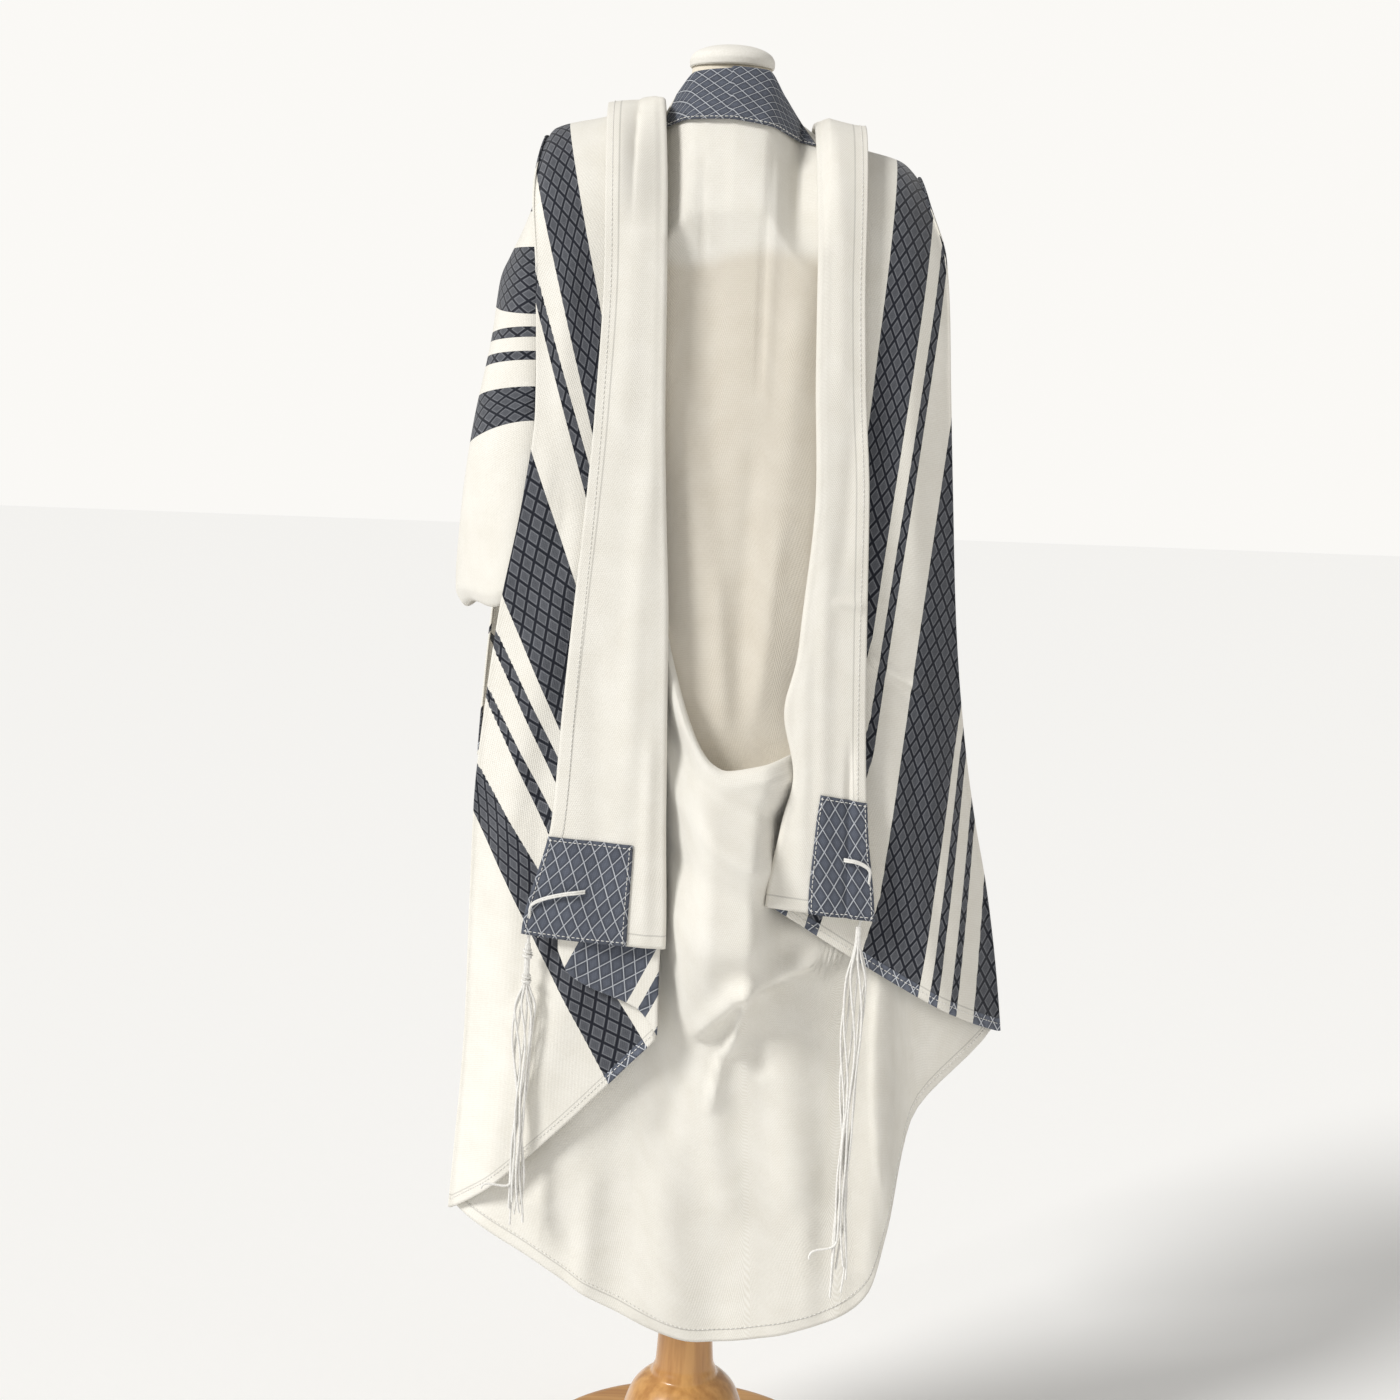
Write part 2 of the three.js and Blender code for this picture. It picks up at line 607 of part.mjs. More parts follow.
// Tzitzit: one plain body for the knots and strands of each corner.
const TASSELS = [
  { name: 'left_back_tassel', topX: -180, topZ: 697, lowX: -190, lowZ: 376, lift: 34, face: BACK },
  { name: 'right_back_tassel', topX: 172, topZ: 728, lowX: 160, lowZ: 306, lift: 34, face: BACK },
  { name: 'left_front_tassel', topX: -160, topZ: 796, lowX: -163, lowZ: 470, lift: 34, face: FRONT },
  { name: 'right_front_tassel', topX: 168, topZ: 774, lowX: 166, lowZ: 446, lift: 34, face: FRONT },
];
const TASSEL_RINGS = [
  { v: 0, radius: 3.5 },
  { v: 0.03, radius: 7 },
  { v: 0.18, radius: 7 },
  { v: 0.3, radius: 6 },
  { v: 1, radius: 9 },
];
const TASSEL_SIDES = 8;

function tassel({ topX, topZ, lowX, lowZ, lift, face }) {
  const rings = TASSEL_RINGS.slice().reverse().map(({ v, radius }) => {
    const [x, z] = [mix(topX, lowX, v), mix(topZ, lowZ, v)];
    const y = formDepth(topX, topZ, lift, face);
    return Array.from({ length: TASSEL_SIDES }, (_, k) => {
      const angle = (k / TASSEL_SIDES) * Math.PI * 2;
      return new THREE.Vector3(x + radius * Math.cos(angle), y + radius * Math.sin(angle), z);
    });
  });
  return ringSolid(rings);
}

// ---------------------------------------------------------------- assembly
add('back_panel_upper', clothWall(outwards(upperBackPanel())), WOOL);
add('back_panel_lower', clothWall(outwards(lowerBackPanel())), WOOL);
for (const side of [LEFT, RIGHT]) {
  add(`${sideName(side)}_front_panel`, clothWall(outwards(frontPanel(side))), WOOL);
}
for (const fall of FALL) {
  const label = `${sideName(fall.side)}_${fall.face === BACK ? 'back' : 'front'}`;
  const longFall = fall.face === BACK;
  const wing = outwards(wingGrid(fall, longFall ? 16 : 12, 7));
  add(`${label}_wing`, clothWall(wing), STRIPE);
  const bandRows = longFall ? 18 : 14;
  const band = bandGrid(fall, bandRows, BAND_COLS);
  add(`${label}_band`, clothWall(outwards(band)), WOOL);
  const patch = movedOut(band, bandRows - PATCH_ROWS, bandRows, 1, BAND_COLS, PATCH_LIFT);
  add(`${label}_corner_patch`, clothWall(outwards(patch)), STRIPE);
}
for (const loop of SLEEVE) {
  add(`${sideName(loop.side)}_arm_loop`, clothWall(outwards(sleeveLoop(loop))), STRIPE);
}
add('left_hem_fold', clothWall(outwards(hemFold())), STRIPE);
add('atara_neckband', clothWall(outwards(ataraGrid())), STRIPE);

for (const each of TASSELS) {
  add(each.name, tassel(each), WOOL);
}

// Torso, neck cap and stand
const RING_SIDES = 36;
const torsoRings = TORSO.map(({ z, half, back, front }) => Array.from({ length: RING_SIDES }, (_, k) => {
  const angle = (k / RING_SIDES) * Math.PI * 2;
  const depth = Math.sin(angle) < 0 ? back : front;
  return new THREE.Vector3(half * Math.cos(angle), depth * Math.sin(angle), z);
}));
add('dress_form_torso', ringSolid(torsoRings), LINEN);

// Profiles as radius and height.
const CAP_PROFILE = [[0, 0], [45, 0], [46, 2], [46, 8], [43, 13], [34, 19], [18, 23], [0, 24]]
  .map(([r, z]) => [r, NECK_TOP + z]);
const POST_RADIUS = 15;
const TURNING_TOP = 190;
const POST_PROFILE = [
  [0, TURNING_TOP + SEAM], [POST_RADIUS, TURNING_TOP + SEAM],
  [POST_RADIUS, FORM_BOTTOM - SEAM], [0, FORM_BOTTOM - SEAM],
];
const TURNING_PROFILE = [
  [0, BASE_HEIGHT + SEAM], [74, BASE_HEIGHT + SEAM], [78, 34], [77, 50], [72, 80], [66, 100],
  [56, 116], [44, 124], [38, 128], [37, 134], [34, 142], [33, 165], [31, 182], [28, TURNING_TOP],
  [0, TURNING_TOP],
];
const BASE_EDGE = { height: 14, bevel: 8 };
const BASE_PROFILE = [
  [0, 0], [BASE_RADIUS, 0], [BASE_RADIUS, BASE_EDGE.height],
  [BASE_RADIUS - BASE_EDGE.bevel, BASE_HEIGHT], [0, BASE_HEIGHT],
];
const POST_SEGMENTS = 24;
add('neck_cap', turned(CAP_PROFILE), LINEN);
add('stand_post', turned(POST_PROFILE, POST_SEGMENTS), HONEY_WOOD, 0.4);
add('stand_turning', turned(TURNING_PROFILE), HONEY_WOOD, 0.35);
add('stand_base', turned(BASE_PROFILE), HONEY_WOOD, 0.35);

export default shawl;
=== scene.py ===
import logging
import math
from dataclasses import dataclass, field
from enum import Enum
from typing import Sequence

import bpy
import numpy as np
from mathutils import Matrix, Vector


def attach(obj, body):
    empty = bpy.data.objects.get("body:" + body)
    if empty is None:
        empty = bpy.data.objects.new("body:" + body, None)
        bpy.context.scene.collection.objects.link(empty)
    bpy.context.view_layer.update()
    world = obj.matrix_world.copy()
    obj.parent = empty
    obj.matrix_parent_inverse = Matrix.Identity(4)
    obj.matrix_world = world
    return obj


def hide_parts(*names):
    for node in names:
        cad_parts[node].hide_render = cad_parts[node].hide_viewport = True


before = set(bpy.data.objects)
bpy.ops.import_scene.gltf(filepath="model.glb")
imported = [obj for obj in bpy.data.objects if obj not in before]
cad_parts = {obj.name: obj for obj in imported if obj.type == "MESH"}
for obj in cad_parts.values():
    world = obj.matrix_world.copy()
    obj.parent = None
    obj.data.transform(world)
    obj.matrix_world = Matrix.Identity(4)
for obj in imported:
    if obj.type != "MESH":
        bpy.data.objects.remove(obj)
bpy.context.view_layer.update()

# A tallit (prayer shawl) on a limbless dress form. One rectangle of wool lies on one draped
# form in layers: the panels, the wings folded back over them, and the shoulder bands on top.
# Tables and sizes are in millimetres; every mesh is made in metres.

MM = 0.001
CLOTH = 1.6            # thickness of the woven cloth
ROUND_FALL = 150.0     # height over which the cloth rounds off the shoulder
ROUND_PATH = 190.0     # length of cloth on that round
PLAN_ROUNDNESS = 3.0
NECK_RADIUS = 60.0
NECK_SIDE = 72.0
WING_LIFT = 12.0
BAND_LIFT = 26.0
PATCH_LIFT = 2.3
HEM_WIDTH = 14.0
DIAMOND_ACROSS = 0.0150   # metres, short diagonal of a woven diamond
DIAMOND_ALONG = 0.0235    # metres, long diagonal
FORM_BOTTOM = 880.0

log = logging.getLogger("tallit")
Array = np.ndarray
Colour = tuple[float, float, float]


class Side(Enum):
    """The wearer's side: left is -X, right is +X."""

    LEFT = -1
    RIGHT = 1

    @property
    def label(self) -> str:
        """Name used for the side's pieces."""
        return self.name.lower()


class Face(Enum):
    """The back of the wearer faces -Y, the front +Y."""

    BACK = -1
    FRONT = 1

    @property
    def label(self) -> str:
        """Name used for the face's pieces."""
        return self.name.lower()


class Weave(Enum):
    """Which face of the cloth shows, by the lines of its woven diamonds."""

    PLAIN = "plain"
    DARK_LINES = "dark_lines"
    WHITE_LINES = "white_lines"


def smooth(t: Array | float) -> Array | float:
    """Smooth step from 0 to 1."""
    c = np.clip(t, 0.0, 1.0)
    return c * c * (3.0 - 2.0 * c)


def mix(a: Array | float, b: Array | float, t: Array | float) -> Array | float:
    """Blend from a to b."""
    return a + (b - a) * t


class Table:
    """Short table of sizes with named columns, read on a smooth curve through its rows."""

    def __init__(self, columns: str, *rows: tuple[float, ...]) -> None:
        """Keep the rows.

        Args:
            columns: column names, the key first.
            rows: one row of numbers for each section.
        """
        self.names = columns.split()
        self.rows = np.array(rows, dtype=float)

    def read(self, column: str, at: Array | float) -> Array:
        """Value of one column.

        Args:
            column: the column's name.
            at: key values to read at.

        Returns:
            The values on a curve that doesn't overshoot its rows.
        """
        keys = self.rows[:, 0]
        values = self.rows[:, self.names.index(column)]
        slopes = np.diff(values) / np.diff(keys)
        before, after = slopes[:-1], slopes[1:]
        total = np.where(before + after == 0, 1.0, before + after)
        inner = np.where(before * after <= 0, 0.0, 2 * before * after / total)
        tangents = np.concatenate([slopes[:1], inner, slopes[-1:]])
        at = np.clip(np.asarray(at, dtype=float), keys[0], keys[-1])
        i = np.clip(np.searchsorted(keys, at, side="right") - 1, 0, len(keys) - 2)
        span = keys[i + 1] - keys[i]
        t = (at - keys[i]) / span
        t2, t3 = t * t, t * t * t
        return ((2 * t3 - 3 * t2 + 1) * values[i] + (t3 - 2 * t2 + t) * span * tangents[i]
                + (3 * t2 - 2 * t3) * values[i + 1] + (t3 - t2) * span * tangents[i + 1])


# ------------------------------------------------------------------ the draped form
FORM_WIDTH = Table("z left right", (200, 288, 356), (360, 286, 356), (590, 272, 352), (750, 272, 324),
                   (940, 280, 286), (1110, 290, 266), (1280, 284, 262), (1430, 272, 262), (1640, 272, 262))
FORM_DEPTH = Table("z back front", (200, 158, 130), (700, 156, 130), (900, 148, 130), (1100, 138, 132),
                   (1300, 126, 136), (1440, 114, 126), (1640, 104, 104))
SHOULDER_LINE = Table("x left right", (0, 1620, 1622), (38, 1616, 1620), (58, 1594, 1594), (76, 1570, 1572),
                      (130, 1560, 1540), (176, 1545, 1522), (198, 1505, 1500), (222, 1446, 1464),
                      (236, 1418, 1402), (246, 1398, 1260), (256, 1352, 1090), (272, 1258, 1040),
                      (284, 1080, 1000))
BRIDGE_LEFT, BRIDGE_RIGHT = 1565.0, 1552.0   # the folds bridge the neck's slope at this height
BRIDGE_LIFT = 5.0              # layers lifted further than this bridge it, fully at twice this
ARM_FROM, ARM_OVER = 140.0, 50.0   # from here out a lifted layer also moves out over the arm
COLLAR_REACH, COLLAR_BLEND = 116.0, 64.0   # how far out the back slopes up to the neck
COLLAR_POWER = 1.15            # how hollow that slope is


class DrapedForm:
    """The shape that every layer of the shawl lies on."""

    @staticmethod
    def shoulder(x: Array, lift: Array | float) -> Array:
        """Height of the shoulder line.

        Args:
            x: distance across, negative on the left.
            lift: how far the layer lies outside the form.

        Returns:
            Heights in millimetres.
        """
        reach = np.abs(x) - lift * smooth((np.abs(x) - ARM_FROM) / ARM_OVER)
        line = np.where(x < 0, SHOULDER_LINE.read("left", reach), SHOULDER_LINE.read("right", reach))
        bridged = np.minimum(line, np.where(x < 0, BRIDGE_LEFT, BRIDGE_RIGHT))
        return mix(line, bridged, smooth((lift - BRIDGE_LIFT) / BRIDGE_LIFT)) + lift

    @classmethod
    def depth(cls, x: Array, z: Array, lift: Array | float, face: Face) -> Array:
        """Depth (Y) of a lifted layer at a place across and up.

        Args:
            x: distance across.
            z: height.
            lift: how far the layer lies outside the form.
            face: back or front.

        Returns:
            Y in millimetres, negative behind.
        """
        width = np.where(x < 0, FORM_WIDTH.read("left", z), FORM_WIDTH.read("right", z)) + lift
        deep = FORM_DEPTH.read(face.label, z) + lift
        across = np.clip(np.abs(x) / width, 0, 1)
        plan = (1 - across ** PLAN_ROUNDNESS) ** (1 / PLAN_ROUNDNESS)
        drop = np.clip((cls.shoulder(x, lift) - z) / ROUND_FALL, 0, 1)
        round_shape = np.sqrt(drop * (2 - drop))
        if face is Face.FRONT:
            return deep * plan * round_shape
        collar = smooth((COLLAR_REACH - np.abs(x)) / COLLAR_BLEND)
        shape = mix(round_shape, drop ** COLLAR_POWER, collar)
        neck_width = NECK_SIDE + lift
        neck = (NECK_RADIUS + lift) * np.sqrt(np.clip(1 - (x / neck_width) ** 2, 0, 1))
        return -(neck + (deep * plan - neck) * shape)

    @classmethod
    def follow_down(cls, x: Array, lift: Array | float, path: Array) -> Array:
        """Height after following the cloth down from the shoulder line.

        Args:
            x: distance across.
            lift: the layer's lift.
            path: length of cloth from the shoulder line.

        Returns:
            Heights in millimetres.
        """
        top = cls.shoulder(x, lift)
        curve = top - ROUND_FALL * (1 - np.cos(np.clip(path / ROUND_PATH, 0, 1) * np.pi / 2))
        return np.where(path >= ROUND_PATH, top - ROUND_FALL - (path - ROUND_PATH), curve)

    @classmethod
    def place(cls, x: Array, z: Array, lift: Array | float, face: Face) -> Array:
        """Points of a layer, as an array with X, Y and Z last."""
        return np.stack([x, cls.depth(x, z, lift, face), z], axis=-1)


CREASE_PAST_END = 0.25         # share of its length by which a crease runs on past each end
CREASE_FADE = 0.35             # share of its length over which it fades out there


@dataclass(frozen=True)
class Crease:
    """One soft ridge or trough laid on a panel."""

    start: tuple[float, float]
    end: tuple[float, float]
    width: float
    height: float
    bow: float = 0.0
    hard_side: float = 1.0

    def at(self, x: Array, z: Array) -> Array:
        """Height of the crease over the panel.

        Args:
            x: distance across.
            z: height on the panel.

        Returns:
            Millimetres outwards, or inwards where negative.
        """
        dx, dz = self.end[0] - self.start[0], self.end[1] - self.start[1]
        length = math.hypot(dx, dz)
        along = ((x - self.start[0]) * dx + (z - self.start[1]) * dz) / length ** 2
        aside = ((x - self.start[0]) * dz - (z - self.start[1]) * dx) / length
        aside = aside - self.bow * 4 * np.clip(along, 0, 1) * (1 - np.clip(along, 0, 1))
        width = np.where(aside > 0, self.width * self.hard_side, self.width)
        taper = smooth((along + CREASE_PAST_END) / CREASE_FADE)
        taper = taper * smooth((1 + CREASE_PAST_END - along) / CREASE_FADE)
        return self.height * np.exp(-(aside / width) ** 2) * taper


def creased(creases: Sequence[Crease], x: Array, z: Array) -> Array:
    """Sum of a panel's creases."""
    total = np.zeros_like(x)
    for crease in creases:
        total = total + crease.at(x, z)
    return total


@dataclass(frozen=True)
class Wave:
    """One of the slow waves of hanging cloth, with its lengths in millimetres for each radian."""

    share: float
    across: float
    down: float
    shift: float


WAVES = (Wave(1.0, 34.0, 310.0, 1.0), Wave(0.7, 19.0, -190.0, 2.3), Wave(0.5, 57.0, 83.0, 1.7),
         Wave(0.35, 66.0, 41.0, 1.0))


def hang(x: Array, z: Array, phase: float, size: float) -> Array:
    """Slow unevenness of hanging cloth, stretched downwards.

    Args:
        x: distance across.
        z: height.
        phase: shifts the pattern, one for each piece.
        size: greatest height in millimetres.

    Returns:
        Millimetres outwards.
    """
    total = sum(each.share * np.sin(x / each.across + z / each.down + each.shift * phase) for each in WAVES)
    return size * total / sum(each.share for each in WAVES)


# ------------------------------------------------------------------ meshes
def path_lengths(points: Array, axis: int) -> Array:
    """Running length of a grid of points along one of its axes, starting at 0."""
    steps = np.linalg.norm(np.diff(points, axis=axis), axis=-1)
    zero = np.zeros_like(np.take(steps, [0], axis=axis))
    return np.concatenate([zero, np.cumsum(steps, axis=axis)], axis=axis)


def link(name: str, mesh: bpy.types.Mesh) -> bpy.types.Object:
    """Put a mesh into the scene as a named object at the world's origin."""
    obj = bpy.data.objects.new(name, mesh)
    bpy.context.scene.collection.objects.link(obj)
    return obj


def mesh_from(name: str, points: Array, faces: Array, uv: Array | None = None,
              marks: dict[str, Array] | None = None) -> bpy.types.Mesh:
    """Smooth mesh in metres.

    Args:
        name: the mesh's name.
        points: vertices in millimetres.
        faces: vertex numbers of each face.
        uv: texture place of each vertex, in metres.
        marks: named values of each vertex.

    Returns:
        The mesh.
    """
    mesh = bpy.data.meshes.new(name)
    mesh.from_pydata((points * MM).tolist(), [], faces.tolist())
    if uv is not None:
        corners = np.empty(len(mesh.loops), dtype=np.int32)
        mesh.loops.foreach_get("vertex_index", corners)
        layer = mesh.uv_layers.new(name="cloth")
        layer.data.foreach_set("uv", uv[corners].astype(np.float32).ravel())
    for mark, values in (marks or {}).items():
        data = mesh.attributes.new(mark, "FLOAT", "POINT").data
        data.foreach_set("value", values.astype(np.float32).ravel())
    mesh.polygons.foreach_set("use_smooth", [True] * len(mesh.polygons))
    mesh.update()
    return mesh


def grid_faces(rows: int, cols: int, flip: bool) -> Array:
    """Four-sided faces of a grid of points."""
    index = np.arange(rows * cols).reshape(rows, cols)
    quads = np.stack([index[:-1, :-1], index[:-1, 1:], index[1:, 1:], index[1:, :-1]], axis=-1)
    quads = quads.reshape(-1, 4)
    return quads[:, ::-1] if flip else quads


@dataclass
class Sheet:
    """One stretch of cloth as a grid of points, ready to be made a thin shell."""

    name: str
    points: Array
    uv: Array
    replaces: tuple[str, ...]
    slot: str
    held: str
    rests_on: tuple[str, ...]
    marks: dict[str, Array] = field(default_factory=dict)
    # hangs straight down
    thickness: float = CLOTH
    upright: bool = True       # hangs straight down, so that its width is measured level
    trims: list[bpy.types.Object] = field(default_factory=list)

    def facing_out(self) -> bool:
        """Whether the grid's own normal looks away from the body."""
        rows, cols = self.points.shape[:2]
        i, j = rows // 3, cols // 2
        here = self.points[i, j]
        normal = np.cross(self.points[i, j + 1] - here, self.points[i + 1, j] - here)
        return float(normal[0] * here[0] + normal[1] * here[1]) > 0

    def normals(self) -> Array:
        """Unit normals of the grid, away from the body."""
        down = np.gradient(self.points, axis=0)
        along = np.gradient(self.points, axis=1)
        normal = np.cross(along, down)
        normal /= np.maximum(np.linalg.norm(normal, axis=-1, keepdims=True), 1e-9)
        return normal if self.facing_out() else -normal

    def build(self, material: bpy.types.Material) -> bpy.types.Object:
        """Args:
            material: the cloth's finish.

        Returns:
            The finished object.
        """
        rows, cols = self.points.shape[:2]
        faces = grid_faces(rows, cols, flip=not self.facing_out())
        self.marks.setdefault("hem", np.ones((rows, cols)))
        # 'under' is the share of painted shade in the wool's colour; none unless the sheet sets it.
        self.marks.setdefault("under", np.zeros((rows, cols)))
        mesh = mesh_from(self.name, self.points.reshape(-1, 3), faces, self.uv.reshape(-1, 2), self.marks)
        mesh.materials.append(material)
        obj = link(self.name, mesh)
        wall = obj.modifiers.new("cloth_thickness", "SOLIDIFY")
        wall.thickness = self.thickness * MM
        wall.offset = -1.0
        wall.use_even_offset = False
        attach(obj, "root")
        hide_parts(*self.replaces)
        return obj


# ------------------------------------------------------------------ shared shader groups
class ShaderGroups:
    """Node groups that more than one finish uses, each built once."""

    def __init__(self) -> None:
        """Build the groups."""
        self.lattice = self._lattice()
        self.stripes = self._stripes()
        self.twill = self._twill()

    @staticmethod
    def _new(name: str, inputs: dict[str, tuple[str, object]],
             outputs: dict[str, str]) -> tuple[bpy.types.NodeTree, bpy.types.Node, bpy.types.Node]:
        """New group with named sockets.

        Args:
            name: the group's name.
            inputs: socket type and value by name.
            outputs: socket type by name.

        Returns:
            The tree, its input node and its output node.
        """
        tree = bpy.data.node_groups.new(name, "ShaderNodeTree")
        for label, (kind, value) in inputs.items():
            socket = tree.interface.new_socket(label, in_out="INPUT", socket_type=kind)
            if value is not None:
                socket.default_value = value
        for label, kind in outputs.items():
            tree.interface.new_socket(label, in_out="OUTPUT", socket_type=kind)
        return tree, tree.nodes.new("NodeGroupInput"), tree.nodes.new("NodeGroupOutput")

    @staticmethod
    def sum_of(tree: bpy.types.NodeTree, kind: str, *values: object) -> bpy.types.NodeSocket:
        """Maths node in a tree.

        Args:
            tree: the tree to put it in.
            kind: its operation.
            values: sockets or numbers.

        Returns:
            Its output.
        """
        node = tree.nodes.new("ShaderNodeMath")
        node.operation = kind
        for socket, value in zip(node.inputs, values):
            if isinstance(value, bpy.types.NodeSocket):
                tree.links.new(value, socket)
            else:
                socket.default_value = float(value)
        return node.outputs[0]

    def _lattice(self) -> bpy.types.NodeTree:
        """Diamonds of crossing lines: 0 on a line, 1 in the middle of a diamond."""
        tree, given, out = self._new(
            "diamond_lattice",
            {"Place": ("NodeSocketVector", None), "Across": ("NodeSocketFloat", DIAMOND_ACROSS),
             "Along": ("NodeSocketFloat", DIAMOND_ALONG)},
            {"From Line": "NodeSocketFloat", "Cell": "NodeSocketFloat"})
        split = tree.nodes.new("ShaderNodeSeparateXYZ")
        tree.links.new(given.outputs["Place"], split.inputs[0])
        across = self.sum_of(tree, "DIVIDE", split.outputs[0], given.outputs["Across"])
        along = self.sum_of(tree, "DIVIDE", split.outputs[1], given.outputs["Along"])
        edges, cells = [], []
        for kind in ("ADD", "SUBTRACT"):
            line = self.sum_of(tree, kind, across, along)
            part = self.sum_of(tree, "FRACT", line)
            centred = self.sum_of(tree, "SUBTRACT", part, 0.5)
            away = self.sum_of(tree, "ABSOLUTE", centred)
            double = self.sum_of(tree, "MULTIPLY", away, 2.0)
            edges.append(self.sum_of(tree, "SUBTRACT", 1.0, double))
            cells.append(self.sum_of(tree, "FLOOR", line))
        near = self.sum_of(tree, "MINIMUM", edges[0], edges[1])
        tree.links.new(near, out.inputs["From Line"])
        cell = self.sum_of(tree, "ADD", self.sum_of(tree, "MULTIPLY", cells[0], 7.13), cells[1])
        scatter = self.sum_of(tree, "FRACT", self.sum_of(tree, "MULTIPLY", self.sum_of(
            tree, "SINE", self.sum_of(tree, "MULTIPLY", cell, 12.9898)), 437.585))
        tree.links.new(scatter, out.inputs["Cell"])
        return tree

    def _stripes(self) -> bpy.types.NodeTree:
        """Mask of the woven stripes, from the distance to the cloth's short end."""
        edges = (0.160, 0.210, 0.222, 0.233, 0.275, 0.350, 0.365, 0.376, 0.391, 0.402, 0.431, 0.478)
        reach = 0.5
        tree, given, out = self._new("woven_stripes", {"Place": ("NodeSocketVector", None)},
                                     {"Stripe": "NodeSocketFloat"})
        split = tree.nodes.new("ShaderNodeSeparateXYZ")
        tree.links.new(given.outputs["Place"], split.inputs[0])
        part = self.sum_of(tree, "DIVIDE", split.outputs[0], reach)
        ramp = tree.nodes.new("ShaderNodeValToRGB")
        ramp.color_ramp.interpolation = "CONSTANT"
        stops = ramp.color_ramp.elements
        stops[0].position, stops[0].color = 0.0, (0, 0, 0, 1)
        stops[1].position, stops[1].color = edges[0] / reach, (1, 1, 1, 1)
        for count, edge in enumerate(edges[1:]):
            shade = float(count % 2)
            stops.new(edge / reach).color = (shade, shade, shade, 1)
        tree.links.new(part, ramp.inputs[0])
        tree.links.new(ramp.outputs[0], out.inputs["Stripe"])
        return tree

    def _twill(self) -> bpy.types.NodeTree:
        """Relief and tint of twill wool: fine diagonal ribs, slubs and soft mottling."""
        tree, given, out = self._new(
            "wool_twill",
            {"Place": ("NodeSocketVector", None), "Rib": ("NodeSocketFloat", 0.0019),
             "Slub": ("NodeSocketFloat", 0.5)},
            {"Height": "NodeSocketFloat", "Tint": "NodeSocketFloat"})
        split = tree.nodes.new("ShaderNodeSeparateXYZ")
        tree.links.new(given.outputs["Place"], split.inputs[0])
        turn = self.sum_of(tree, "DIVIDE", 2 * math.pi, given.outputs["Rib"])
        diagonal = self.sum_of(tree, "ADD", split.outputs[0],
                               self.sum_of(tree, "MULTIPLY", split.outputs[1], 0.55))
        rib = self.sum_of(tree, "SINE", self.sum_of(tree, "MULTIPLY", diagonal, turn))
        cross = self.sum_of(tree, "SINE", self.sum_of(tree, "MULTIPLY", split.outputs[1], turn))
        coarse = self._noise(tree, given.outputs["Place"], 420.0, 3.0)
        wide = self._noise(tree, given.outputs["Place"], 26.0, 2.0)
        thread = self.sum_of(tree, "ADD", self.sum_of(tree, "MULTIPLY", rib, 0.22),
                             self.sum_of(tree, "MULTIPLY", cross, 0.12))
        slub = self.sum_of(tree, "MULTIPLY", coarse, given.outputs["Slub"])
        height = self.sum_of(tree, "ADD", self.sum_of(tree, "ADD", thread, slub), 0.3)
        tree.links.new(height, out.inputs["Height"])
        shade = self.sum_of(tree, "ADD", self.sum_of(tree, "MULTIPLY", height, 0.6),
                            self.sum_of(tree, "MULTIPLY", wide, 0.4))
        tree.links.new(shade, out.inputs["Tint"])
        return tree

    @staticmethod
    def _noise(tree: bpy.types.NodeTree, place: bpy.types.NodeSocket, scale: float,
               detail: float) -> bpy.types.NodeSocket:
        """Noise texture's value at a place."""
        node = tree.nodes.new("ShaderNodeTexNoise")
        node.inputs["Scale"].default_value = scale
        node.inputs["Detail"].default_value = detail
        tree.links.new(place, node.inputs["Vector"])
        return node.outputs[0]


# ------------------------------------------------------------------ finishes
@dataclass(frozen=True)
class Stop:
    """One colour of a ramp."""

    at: float
    colour: Colour


DARK_LINED = (Stop(0.0, (0.009, 0.011, 0.018)), Stop(0.15, (0.012, 0.014, 0.022)),
              Stop(0.23, (0.060, 0.064, 0.074)), Stop(0.33, (0.190, 0.197, 0.218)),
              Stop(0.43, (0.090, 0.095, 0.110)), Stop(1.0, (0.078, 0.083, 0.096)))
WHITE_LINED = (Stop(0.0, (0.46, 0.48, 0.52)), Stop(0.05, (0.42, 0.44, 0.48)),
               Stop(0.11, (0.060, 0.067, 0.086)), Stop(0.30, (0.066, 0.074, 0.096)),
               Stop(0.50, (0.090, 0.101, 0.130)), Stop(1.0, (0.104, 0.117, 0.150)))


